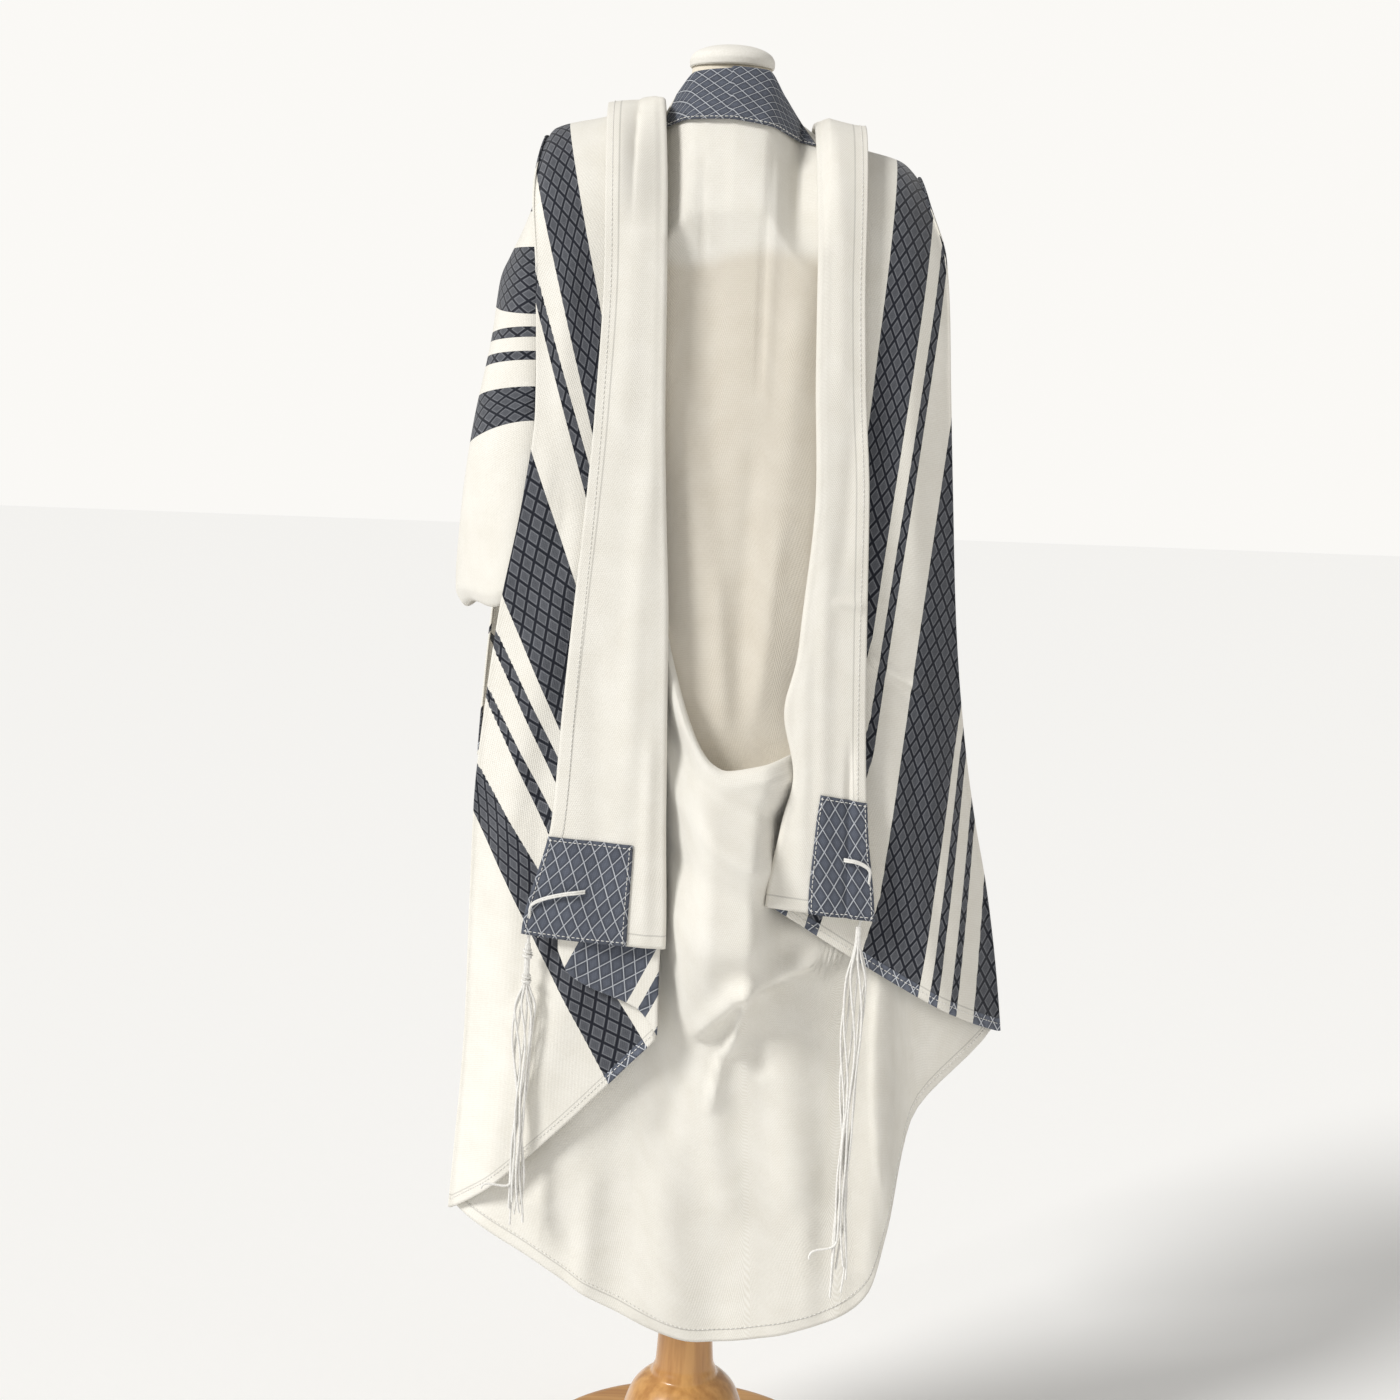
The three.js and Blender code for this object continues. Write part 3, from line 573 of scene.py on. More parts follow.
@dataclass(frozen=True)
class ClothFinish:
    """Wool cloth, plain or with its woven diamond stripes."""

    name: str
    weave: Weave
    all_diamonds: bool = False
    cell: float = 1.0
    light: Colour = (0.865, 0.845, 0.790)
    shade: Colour = (0.745, 0.715, 0.640)
    # Painted shade: darker, warmer wool colours used where a sheet's 'under' mark is set, in place of the
    # shade on the back between the bands.
    painted_shade_pale: Colour = (0.760, 0.715, 0.630)
    painted_shade_deep: Colour = (0.650, 0.595, 0.500)
    rib: float = 0.0019
    bump: float = 0.55
    sheen: float = 0.22

    def material(self, groups: ShaderGroups) -> bpy.types.Material:
        """Build the finish.

        Args:
            groups: the shared shader groups.

        Returns:
            The material.
        """
        mat = bpy.data.materials.new(self.name)
        mat.use_nodes = True
        tree = mat.node_tree
        shader = tree.nodes["Principled BSDF"]
        shader.inputs["Roughness"].default_value = 0.92
        shader.inputs["Specular IOR Level"].default_value = 0.25
        shader.inputs["Sheen Weight"].default_value = self.sheen
        shader.inputs["Sheen Roughness"].default_value = 0.45
        place = tree.nodes.new("ShaderNodeUVMap")
        place.uv_map = "cloth"
        twill = self._group(tree, groups.twill, place.outputs[0])
        twill.inputs["Rib"].default_value = self.rib
        wool = self._ramp(tree, twill.outputs["Tint"], (Stop(0.30, self.shade), Stop(0.68, self.light)))
        # Painted shade: the 'under' mark blends the wool towards the darker, warmer painted-shade colours.
        under = tree.nodes.new("ShaderNodeAttribute")
        under.attribute_name = "under"
        painted_shade = self._ramp(tree, twill.outputs["Tint"], (Stop(0.30, self.painted_shade_deep),
                                                         Stop(0.68, self.painted_shade_pale)))
        wool = self._mix(tree, under.outputs["Fac"], wool, painted_shade)
        hem = tree.nodes.new("ShaderNodeAttribute")
        hem.attribute_name = "hem"
        turned = ShaderGroups.sum_of(tree, "LESS_THAN", hem.outputs["Fac"], HEM_WIDTH * MM)
        off_seam = ShaderGroups.sum_of(tree, "ABSOLUTE", ShaderGroups.sum_of(
            tree, "SUBTRACT", hem.outputs["Fac"], HEM_WIDTH * MM))
        seam = ShaderGroups.sum_of(tree, "LESS_THAN", off_seam, 0.0009)
        height = ShaderGroups.sum_of(tree, "ADD", twill.outputs["Height"], ShaderGroups.sum_of(
            tree, "MULTIPLY", turned, 0.8))
        colour = wool
        if self.weave is not Weave.PLAIN:
            colour, height = self._diamonds(tree, groups, place.outputs[0], wool, height, turned)
        keep = ShaderGroups.sum_of(tree, "SUBTRACT", 1.0, ShaderGroups.sum_of(tree, "MULTIPLY", seam, 0.22))
        tree.links.new(self._scaled(tree, colour, keep), shader.inputs["Base Color"])
        bump = tree.nodes.new("ShaderNodeBump")
        bump.inputs["Strength"].default_value = self.bump
        bump.inputs["Distance"].default_value = 0.0007
        tree.links.new(height, bump.inputs["Height"])
        tree.links.new(bump.outputs[0], shader.inputs["Normal"])
        return mat

    def _diamonds(self, tree: bpy.types.NodeTree, groups: ShaderGroups, place: bpy.types.NodeSocket,
                  wool: bpy.types.NodeSocket, height: bpy.types.NodeSocket,
                  turned: bpy.types.NodeSocket) -> tuple[bpy.types.NodeSocket, bpy.types.NodeSocket]:
        """Colour and relief of the diamond weave laid over the wool.

        Args:
            tree: the material's tree.
            groups: the shared shader groups.
            place: cloth coordinates.
            wool: the plain cloth's colour.
            height: the plain cloth's relief.
            turned: where the hem shows the cloth's other face.

        Returns:
            The colour and the relief.
        """
        lattice = self._group(tree, groups.lattice, place)
        lattice.inputs["Across"].default_value = DIAMOND_ACROSS * self.cell
        lattice.inputs["Along"].default_value = DIAMOND_ALONG * self.cell
        line = lattice.outputs["From Line"]
        dark = self._ramp(tree, line, DARK_LINED)
        white = self._ramp(tree, line, WHITE_LINED)
        if self.weave is Weave.WHITE_LINES:
            woven = white
        else:
            woven = self._mix(tree, turned, dark, white)
        tone = ShaderGroups.sum_of(tree, "ADD", 0.72, ShaderGroups.sum_of(
            tree, "MULTIPLY", lattice.outputs["Cell"], 0.16))
        grain = ShaderGroups.sum_of(tree, "ADD", tone, ShaderGroups.sum_of(
            tree, "MULTIPLY", height, 0.42))
        woven = self._scaled(tree, woven, grain)
        relief = ShaderGroups.sum_of(tree, "ADD", height, ShaderGroups.sum_of(
            tree, "MULTIPLY", ShaderGroups.sum_of(tree, "MINIMUM", line, 0.35), 1.6))
        if self.all_diamonds:
            return woven, relief
        stripe = self._group(tree, groups.stripes, place).outputs["Stripe"]
        both = tree.nodes.new("ShaderNodeMix")
        both.data_type = "FLOAT"
        tree.links.new(stripe, both.inputs[0])
        tree.links.new(height, both.inputs[2])
        tree.links.new(relief, both.inputs[3])
        return self._mix(tree, stripe, wool, woven), both.outputs[0]

    @staticmethod
    def _scaled(tree: bpy.types.NodeTree, colour: bpy.types.NodeSocket,
                factor: bpy.types.NodeSocket) -> bpy.types.NodeSocket:
        """Colour made lighter or darker by a factor."""
        scale = tree.nodes.new("ShaderNodeVectorMath")
        scale.operation = "SCALE"
        tree.links.new(colour, scale.inputs[0])
        tree.links.new(factor, scale.inputs["Scale"])
        return scale.outputs[0]

    @staticmethod
    def _group(tree: bpy.types.NodeTree, group: bpy.types.NodeTree,
               place: bpy.types.NodeSocket) -> bpy.types.Node:
        """Place a shared group and give it the cloth coordinates."""
        node = tree.nodes.new("ShaderNodeGroup")
        node.node_tree = group
        tree.links.new(place, node.inputs["Place"])
        return node

    @staticmethod
    def _ramp(tree: bpy.types.NodeTree, value: bpy.types.NodeSocket,
              stops: Sequence[Stop]) -> bpy.types.NodeSocket:
        """Colour ramp over a value."""
        ramp = tree.nodes.new("ShaderNodeValToRGB")
        elements = ramp.color_ramp.elements
        elements[0].position, elements[0].color = stops[0].at, (*stops[0].colour, 1)
        elements[1].position, elements[1].color = stops[-1].at, (*stops[-1].colour, 1)
        for stop in stops[1:-1]:
            elements.new(stop.at).color = (*stop.colour, 1)
        tree.links.new(value, ramp.inputs[0])
        return ramp.outputs[0]

    @staticmethod
    def _mix(tree: bpy.types.NodeTree, share: bpy.types.NodeSocket, first: bpy.types.NodeSocket,
             second: bpy.types.NodeSocket) -> bpy.types.NodeSocket:
        """Blend of two colours."""
        node = tree.nodes.new("ShaderNodeMix")
        node.data_type = "RGBA"
        tree.links.new(share, node.inputs[0])
        tree.links.new(first, node.inputs[6])
        tree.links.new(second, node.inputs[7])
        return node.outputs[2]


@dataclass(frozen=True)
class SolidFinish:
    """Finish that reads the object's own coordinates: cord, jersey cover or wood."""

    name: str
    light: Colour
    dark: Colour
    stretch: tuple[float, float, float]
    scale: float
    roughness: float
    coat: float = 0.0
    bump: float = 0.2
    distance: float = 0.0004

    def material(self) -> bpy.types.Material:
        """Build the finish.

        Returns:
            The material.
        """
        mat = bpy.data.materials.new(self.name)
        mat.use_nodes = True
        tree = mat.node_tree
        shader = tree.nodes["Principled BSDF"]
        shader.inputs["Roughness"].default_value = self.roughness
        shader.inputs["Coat Weight"].default_value = self.coat
        shader.inputs["Coat Roughness"].default_value = 0.18
        place = tree.nodes.new("ShaderNodeTexCoord")
        turn = tree.nodes.new("ShaderNodeMapping")
        turn.inputs["Scale"].default_value = self.stretch
        tree.links.new(place.outputs["Object"], turn.inputs[0])
        noise = tree.nodes.new("ShaderNodeTexNoise")
        noise.inputs["Scale"].default_value = self.scale
        noise.inputs["Detail"].default_value = 4.0
        tree.links.new(turn.outputs[0], noise.inputs["Vector"])
        stops = (Stop(0.35, self.dark), Stop(0.65, self.light))
        tree.links.new(ClothFinish._ramp(tree, noise.outputs[0], stops), shader.inputs["Base Color"])
        bump = tree.nodes.new("ShaderNodeBump")
        bump.inputs["Strength"].default_value = self.bump
        bump.inputs["Distance"].default_value = self.distance
        tree.links.new(noise.outputs[0], bump.inputs["Height"])
        tree.links.new(bump.outputs[0], shader.inputs["Normal"])
        return mat


class Finishes:
    """Every finish of the part, built once."""

    def __init__(self) -> None:
        """Build the materials."""
        groups = ShaderGroups()
        self.plain = ClothFinish("wool_plain", Weave.PLAIN).material(groups)
        self.striped = ClothFinish("wool_striped", Weave.DARK_LINES).material(groups)
        self.reverse = ClothFinish("wool_striped_reverse", Weave.WHITE_LINES).material(groups)
        self.diamonds = ClothFinish("diamond_jacquard", Weave.WHITE_LINES, all_diamonds=True).material(groups)
        self.neckband = ClothFinish("neckband_jacquard", Weave.WHITE_LINES, all_diamonds=True,
                                    cell=0.7).material(groups)
        self.cord = SolidFinish("fringe_cord", (0.88, 0.87, 0.84), (0.70, 0.69, 0.66),
                                (1, 1, 0.4), 900.0, 0.85, bump=0.5).material()
        self.cover = SolidFinish("form_cover", (0.80, 0.74, 0.63), (0.74, 0.68, 0.56),
                                 (1, 1, 1), 700.0, 0.85, bump=0.25).material()
        self.cap = SolidFinish("cap_cover", (0.84, 0.82, 0.77), (0.78, 0.76, 0.70),
                               (1, 1, 1), 500.0, 0.8, bump=0.2).material()
        self.wood = SolidFinish("varnished_wood", (0.62, 0.33, 0.105), (0.44, 0.205, 0.055),
                                (1, 1, 0.06), 90.0, 0.32, coat=0.6, bump=0.08).material()
        self.board = SolidFinish("varnished_board", (0.62, 0.33, 0.105), (0.46, 0.215, 0.06),
                                 (0.07, 1, 1), 90.0, 0.32, coat=0.6, bump=0.08).material()


# ------------------------------------------------------------------ geometry node tools
class NodeTool:
    """Geometry Nodes trees that turn plain paths into cords and rows of stitches."""

    def __init__(self) -> None:
        """Build both trees."""
        self.cords = self._cord_tree()
        self.stitches = self._stitch_tree()

    @staticmethod
    def _start(name: str, sizes: dict[str, tuple[str, float]]) -> bpy.types.NodeTree:
        """Tree with a geometry input and output and named sizes."""
        tree = bpy.data.node_groups.new(name, "GeometryNodeTree")
        tree.interface.new_socket("Geometry", in_out="INPUT", socket_type="NodeSocketGeometry")
        for label, (kind, value) in sizes.items():
            tree.interface.new_socket(label, in_out="INPUT", socket_type=kind).default_value = value
        tree.interface.new_socket("Finish", in_out="INPUT", socket_type="NodeSocketMaterial")
        tree.interface.new_socket("Geometry", in_out="OUTPUT", socket_type="NodeSocketGeometry")
        return tree

    @staticmethod
    def _finish(tree: bpy.types.NodeTree, given: bpy.types.Node,
                shape: bpy.types.NodeSocket) -> bpy.types.NodeTree:
        """End a tree in Realize Instances and Set Material."""
        real = tree.nodes.new("GeometryNodeRealizeInstances")
        dress = tree.nodes.new("GeometryNodeSetMaterial")
        out = tree.nodes.new("NodeGroupOutput")
        tree.links.new(shape, real.inputs[0])
        tree.links.new(real.outputs[0], dress.inputs["Geometry"])
        tree.links.new(given.outputs["Finish"], dress.inputs["Material"])
        tree.links.new(dress.outputs[0], out.inputs[0])
        return tree

    def _cord_tree(self) -> bpy.types.NodeTree:
        """Round cord along each path."""
        tree = self._start("cord_along_path", {"Radius": ("NodeSocketFloat", 0.001),
                                               "Sides": ("NodeSocketInt", 8),
                                               "Step": ("NodeSocketFloat", 0.004)})
        given = tree.nodes.new("NodeGroupInput")
        curve = tree.nodes.new("GeometryNodeMeshToCurve")
        even = tree.nodes.new("GeometryNodeResampleCurve")
        even.mode = "LENGTH"
        profile = tree.nodes.new("GeometryNodeCurvePrimitiveCircle")
        tube = tree.nodes.new("GeometryNodeCurveToMesh")
        tube.inputs["Fill Caps"].default_value = True
        tree.links.new(given.outputs["Geometry"], curve.inputs[0])
        tree.links.new(curve.outputs[0], even.inputs["Curve"])
        tree.links.new(given.outputs["Step"], even.inputs["Length"])
        tree.links.new(given.outputs["Sides"], profile.inputs["Resolution"])
        tree.links.new(given.outputs["Radius"], profile.inputs["Radius"])
        tree.links.new(even.outputs[0], tube.inputs["Curve"])
        tree.links.new(profile.outputs[0], tube.inputs["Profile Curve"])
        return self._finish(tree, given, tube.outputs[0])

    def _stitch_tree(self) -> bpy.types.NodeTree:
        """Row of small stitches along each path."""
        tree = self._start("stitch_row", {"Spacing": ("NodeSocketFloat", 0.0045),
                                          "Length": ("NodeSocketFloat", 0.003),
                                          "Radius": ("NodeSocketFloat", 0.0004)})
        given = tree.nodes.new("NodeGroupInput")
        curve = tree.nodes.new("GeometryNodeMeshToCurve")
        even = tree.nodes.new("GeometryNodeResampleCurve")
        even.mode = "LENGTH"
        along = tree.nodes.new("GeometryNodeInputTangent")
        turn = tree.nodes.new("FunctionNodeAlignRotationToVector")
        turn.axis = "Z"
        stitch = tree.nodes.new("GeometryNodeMeshCylinder")
        stitch.inputs["Vertices"].default_value = 6
        scatter = tree.nodes.new("GeometryNodeInstanceOnPoints")
        tree.links.new(given.outputs["Geometry"], curve.inputs[0])
        tree.links.new(curve.outputs[0], even.inputs["Curve"])
        tree.links.new(given.outputs["Spacing"], even.inputs["Length"])
        tree.links.new(given.outputs["Radius"], stitch.inputs["Radius"])
        tree.links.new(given.outputs["Length"], stitch.inputs["Depth"])
        tree.links.new(along.outputs[0], turn.inputs["Vector"])
        tree.links.new(even.outputs[0], scatter.inputs["Points"])
        tree.links.new(stitch.outputs["Mesh"], scatter.inputs["Instance"])
        tree.links.new(turn.outputs[0], scatter.inputs["Rotation"])
        return self._finish(tree, given, scatter.outputs[0])

    @staticmethod
    def run(tree: bpy.types.NodeTree, name: str, paths: Sequence[Array], finish: bpy.types.Material,
            **sizes: float) -> bpy.types.Object:
        """Run a tree over paths and keep the result as a plain mesh.

        Args:
            tree: the tree.
            name: the new piece's name.
            paths: each path's points in millimetres.
            finish: the piece's material.
            sizes: values of the tree's named inputs.

        Returns:
            The piece.
        """
        points, edges = [], []
        for path in paths:
            first = len(points)
            points.extend((np.asarray(path) * MM).tolist())
            edges.extend((k, k + 1) for k in range(first, len(points) - 1))
        lines = bpy.data.meshes.new(name + "_paths")
        lines.from_pydata(points, edges, [])
        rough = link(name + "_paths", lines)
        modifier = rough.modifiers.new("shape", "NODES")
        modifier.node_group = tree
        for item in tree.interface.items_tree:
            if item.item_type != "SOCKET" or item.in_out != "INPUT":
                continue
            if item.name in sizes:
                modifier[item.identifier] = sizes[item.name]
            if item.name == "Finish":
                modifier[item.identifier] = finish
        rough.update_tag()
        graph = bpy.context.evaluated_depsgraph_get()
        mesh = bpy.data.meshes.new_from_object(rough.evaluated_get(graph))
        mesh.name = name
        rough.modifiers.remove(modifier)
        bpy.data.objects.remove(rough)
        bpy.data.meshes.remove(lines)
        mesh.polygons.foreach_set("use_smooth", [True] * len(mesh.polygons))
        return link(name, mesh)


# ------------------------------------------------------------------ sizes of the folded layers
COWL = {"middle": 34.0, "left": -52.0, "right": 104.0, "flat": 22.0, "seam": 1066.0, "drop": 216.0,
        "rise": 36.0, "lift": 44.0}
PANEL_HALF = 190.0
SEAM_LEFT, SEAM_RIGHT = -209.0, 247.0
COWL_BULGE = Table("z lift", (240, 0), (480, 2), (590, 12), (640, 34), (700, 56), (790, 62), (890, 52),
                   (1060, 14))
BACK_HEM = Table("u x z", (0.0, -266, 364), (0.13, -189, 332), (0.3, -88, 276), (0.46, 16, 240),
                 (0.58, 95, 250), (0.7, 168, 272), (0.78, 200, 300), (0.86, 218, 372), (0.93, 238, 498),
                 (1.0, 331, 594))
RIM = Table("r rise out down", (0.0, 0.0, 0.0, 3), (0.2, 0.55, 0.5, 8), (0.4, 0.94, 0.88, 13),
            (0.6, 1.0, 1.0, 18), (0.8, 0.9, 1.14, 24), (1.0, 0.6, 1.25, 32))
EDGES = {
    (Side.LEFT, Face.BACK): Table(
        "z fold end wing", (340, 42, 192, 271), (600, 42, 192, 254), (700, 42, 191, 252),
        (830, 46, 162, 248), (950, 49, 154, 236), (1040, 51, 147, 224), (1170, 58, 136, 200),
        (1260, 62, 130, 190), (1400, 65, 125, 194), (1490, 68, 127, 202), (1600, 75, 132, 186)),
    (Side.RIGHT, Face.BACK): Table(
        "z fold end wing", (560, 77, 186, 338), (680, 72, 186, 322), (750, 72, 182, 310),
        (830, 84, 172, 292), (925, 95, 166, 275), (1020, 97, 163, 262), (1180, 108, 159, 249),
        (1300, 103, 150, 240), (1430, 100, 145, 231), (1490, 98, 145, 212), (1600, 95, 146, 186)),
    (Side.LEFT, Face.FRONT): Table(
        "z fold end wing", (760, 60, 178, 268), (900, 56, 158, 262), (1100, 62, 142, 246),
        (1300, 70, 132, 222), (1490, 74, 130, 204), (1600, 75, 132, 186)),
    (Side.RIGHT, Face.FRONT): Table(
        "z fold end wing", (760, 66, 186, 280), (900, 62, 170, 270), (1100, 76, 158, 252),
        (1300, 88, 148, 234), (1490, 94, 146, 210), (1600, 95, 146, 186)),
}


@dataclass(frozen=True)
class Fall:
    """Lower ends of the layers that fall from one shoulder on one face."""

    side: Side
    face: Face
    band_fold: float
    band_end: float
    wing_fold: float
    wing_outer: float


FALLS = {
    (Side.LEFT, Face.BACK): Fall(Side.LEFT, Face.BACK, 698, 706, 594, 362),
    (Side.RIGHT, Face.BACK): Fall(Side.RIGHT, Face.BACK, 747, 735, 744, 590),
    (Side.LEFT, Face.FRONT): Fall(Side.LEFT, Face.FRONT, 812, 800, 806, 850),
    (Side.RIGHT, Face.FRONT): Fall(Side.RIGHT, Face.FRONT, 790, 778, 786, 838),
}


NEAR_STRIPES = 431             # stripes nearer the short end than this splay inwards low down
SPLAY = 0.16                   # how much further in they lie for each step down, below their lowest point


class StripeLines:
    """Edges of the woven stripes as they lie on one wing: straight lines that fan out."""

    def __init__(self, side: Side, tilt: float, *rows: tuple[float, ...]) -> None:
        """Keep the lines.

        Args:
            side: which wing.
            tilt: degrees by which the stripes lean from the vertical.
            rows: distance from the cloth's short end, then the upper and the lower point.
        """
        self.side = side
        self.tilt = math.radians(tilt)
        self.rows = rows

    def distance(self, out: Array, z: Array) -> Array:
        """Distance from the cloth's short end.

        Args:
            out: distance outwards from the middle.
            z: height.

        Returns:
            Millimetres along the cloth.
        """
        lines = []
        for count, (reach, x_high, z_high, x_low, z_low) in enumerate(self.rows):
            lean = (x_low - x_high) / (z_low - z_high)
            line = self.side.value * (x_high + (z - z_high) * lean)
            if reach < NEAR_STRIPES:
                line = line - SPLAY * np.maximum(z_low - z, 0)
            if count:
                line = np.maximum(line, lines[-1] + 0.5 * (reach - self.rows[count - 1][0]))
            lines.append(line)
        total = self.rows[0][0] + np.minimum(out - lines[0], 0)
        for count in range(len(lines) - 1):
            part = np.clip((out - lines[count]) / (lines[count + 1] - lines[count]), 0, 1)
            total = total + part * (self.rows[count + 1][0] - self.rows[count][0])
        return total + np.maximum(out - lines[-1], 0)


STRIPE_LINES = {
    Side.LEFT: StripeLines(
        Side.LEFT, 24, (160, -160, 1507, -126, 1354), (210, -173, 1396, -130, 1229),
        (222, -180, 1345, -134, 1202), (233, -182, 1325, -136, 1169), (275, -195, 1211, -142, 1071),
        (350, -222, 1063, -156, 922), (365, -229, 1020, -159, 893), (376, -231, 1006, -160, 866),
        (391, -237, 960, -164, 838), (402, -239, 950, -166, 808), (431, -245, 871, -62, 600),
        (478, -250, 819, -91, 536)),
    Side.RIGHT: StripeLines(
        Side.RIGHT, 8, (160, 177, 1496, 153, 1222), (210, 213, 1426, 169, 1032),
        (222, 221, 1375, 171, 945), (233, 226, 1350, 175, 907), (275, 238, 1189, 190, 758),
        (350, 272, 943, 235, 647), (365, 277, 922, 248, 637), (376, 282, 895, 257, 631),
        (391, 291, 856, 271, 626), (402, 296, 823, 281, 621), (431, 310, 768, 301, 610)),
}
# Distance from the short end on the loop over the arm: at its back edge and where it is widest.
LOOP_WEAVE = Table("z edge wide", (1030, 700, 720), (1212, 510, 478), (1246, 478, 448), (1282, 431, 414),
                   (1320, 391, 382), (1344, 365, 358), (1358, 350, 355), (1427, 275, 275),
                   (1470, 228, 232), (1520, 190, 200))


# The cowl's rim across the back, lower on the left and rising to the right band.
COWL_RIM = Table("x z", (-60, 1084), (-50, 1062), (-38, 1012), (-22, 950), (-6, 906), (6, 888), (20, 880),
                 (50, 886), (80, 897), (98, 908), (106, 932), (114, 985), (122, 1050), (128, 1084))
RIM_ABOVE_SEAM = 18.0
SIDE_SEAM_FROM, SIDE_SEAM_OVER, SIDE_SEAM_DROP = 180.0, 50.0, 52.0   # it starts lower at the sides
COWL_SIDE_PULL = 1.14          # how much quicker the cowl fades out on the right
RIM_TUCK, RIM_TUCK_FROM, RIM_TUCK_OVER = 0.62, 58.0, 44.0   # the rim lies flatter at the right band
SIDE_INSET = 15.0              # how far the lower panel's side edges lie inside the wings' outline
OPEN_ROOM = 40.0               # how far a fold may stand out where nothing lies over the panel
WING_ROOM = 8.0                # how far it may stand out under the wings
WING_TROUGH = 5.0              # how far a trough of the wing may come in towards the panel


def cowl_hold(x: Array) -> Array:
    """How far the cowl pulls the cloth out below its rim: 0 outside it, 1 along its middle."""
    reach = np.where(x < COWL["middle"], COWL["middle"] - COWL["left"], COWL["right"] - COWL["middle"])
    away = np.abs(x - COWL["middle"]) - COWL["flat"]
    return 1 - smooth(away / (reach - COWL["flat"]))


def panel_seam(x: Array) -> Array:
    """Height where the upper back panel meets the pocket behind the cowl."""
    return COWL_RIM.read("z", x) - RIM_ABOVE_SEAM


def rim_share(x: Array) -> Array:
    """How far the rim is folded out: 0 beside the cowl, 1 at its lowest point."""
    return (COWL["seam"] - panel_seam(x)) / COWL["drop"]


def plain_uv(points: Array, end_distance: float = 1.1) -> Array:
    """Cloth coordinates of a plain panel, in metres, far from the stripes."""
    across = path_lengths(points, 1)
    down = path_lengths(points, 0)
    return np.stack([end_distance + across * MM, -down * MM], axis=-1)


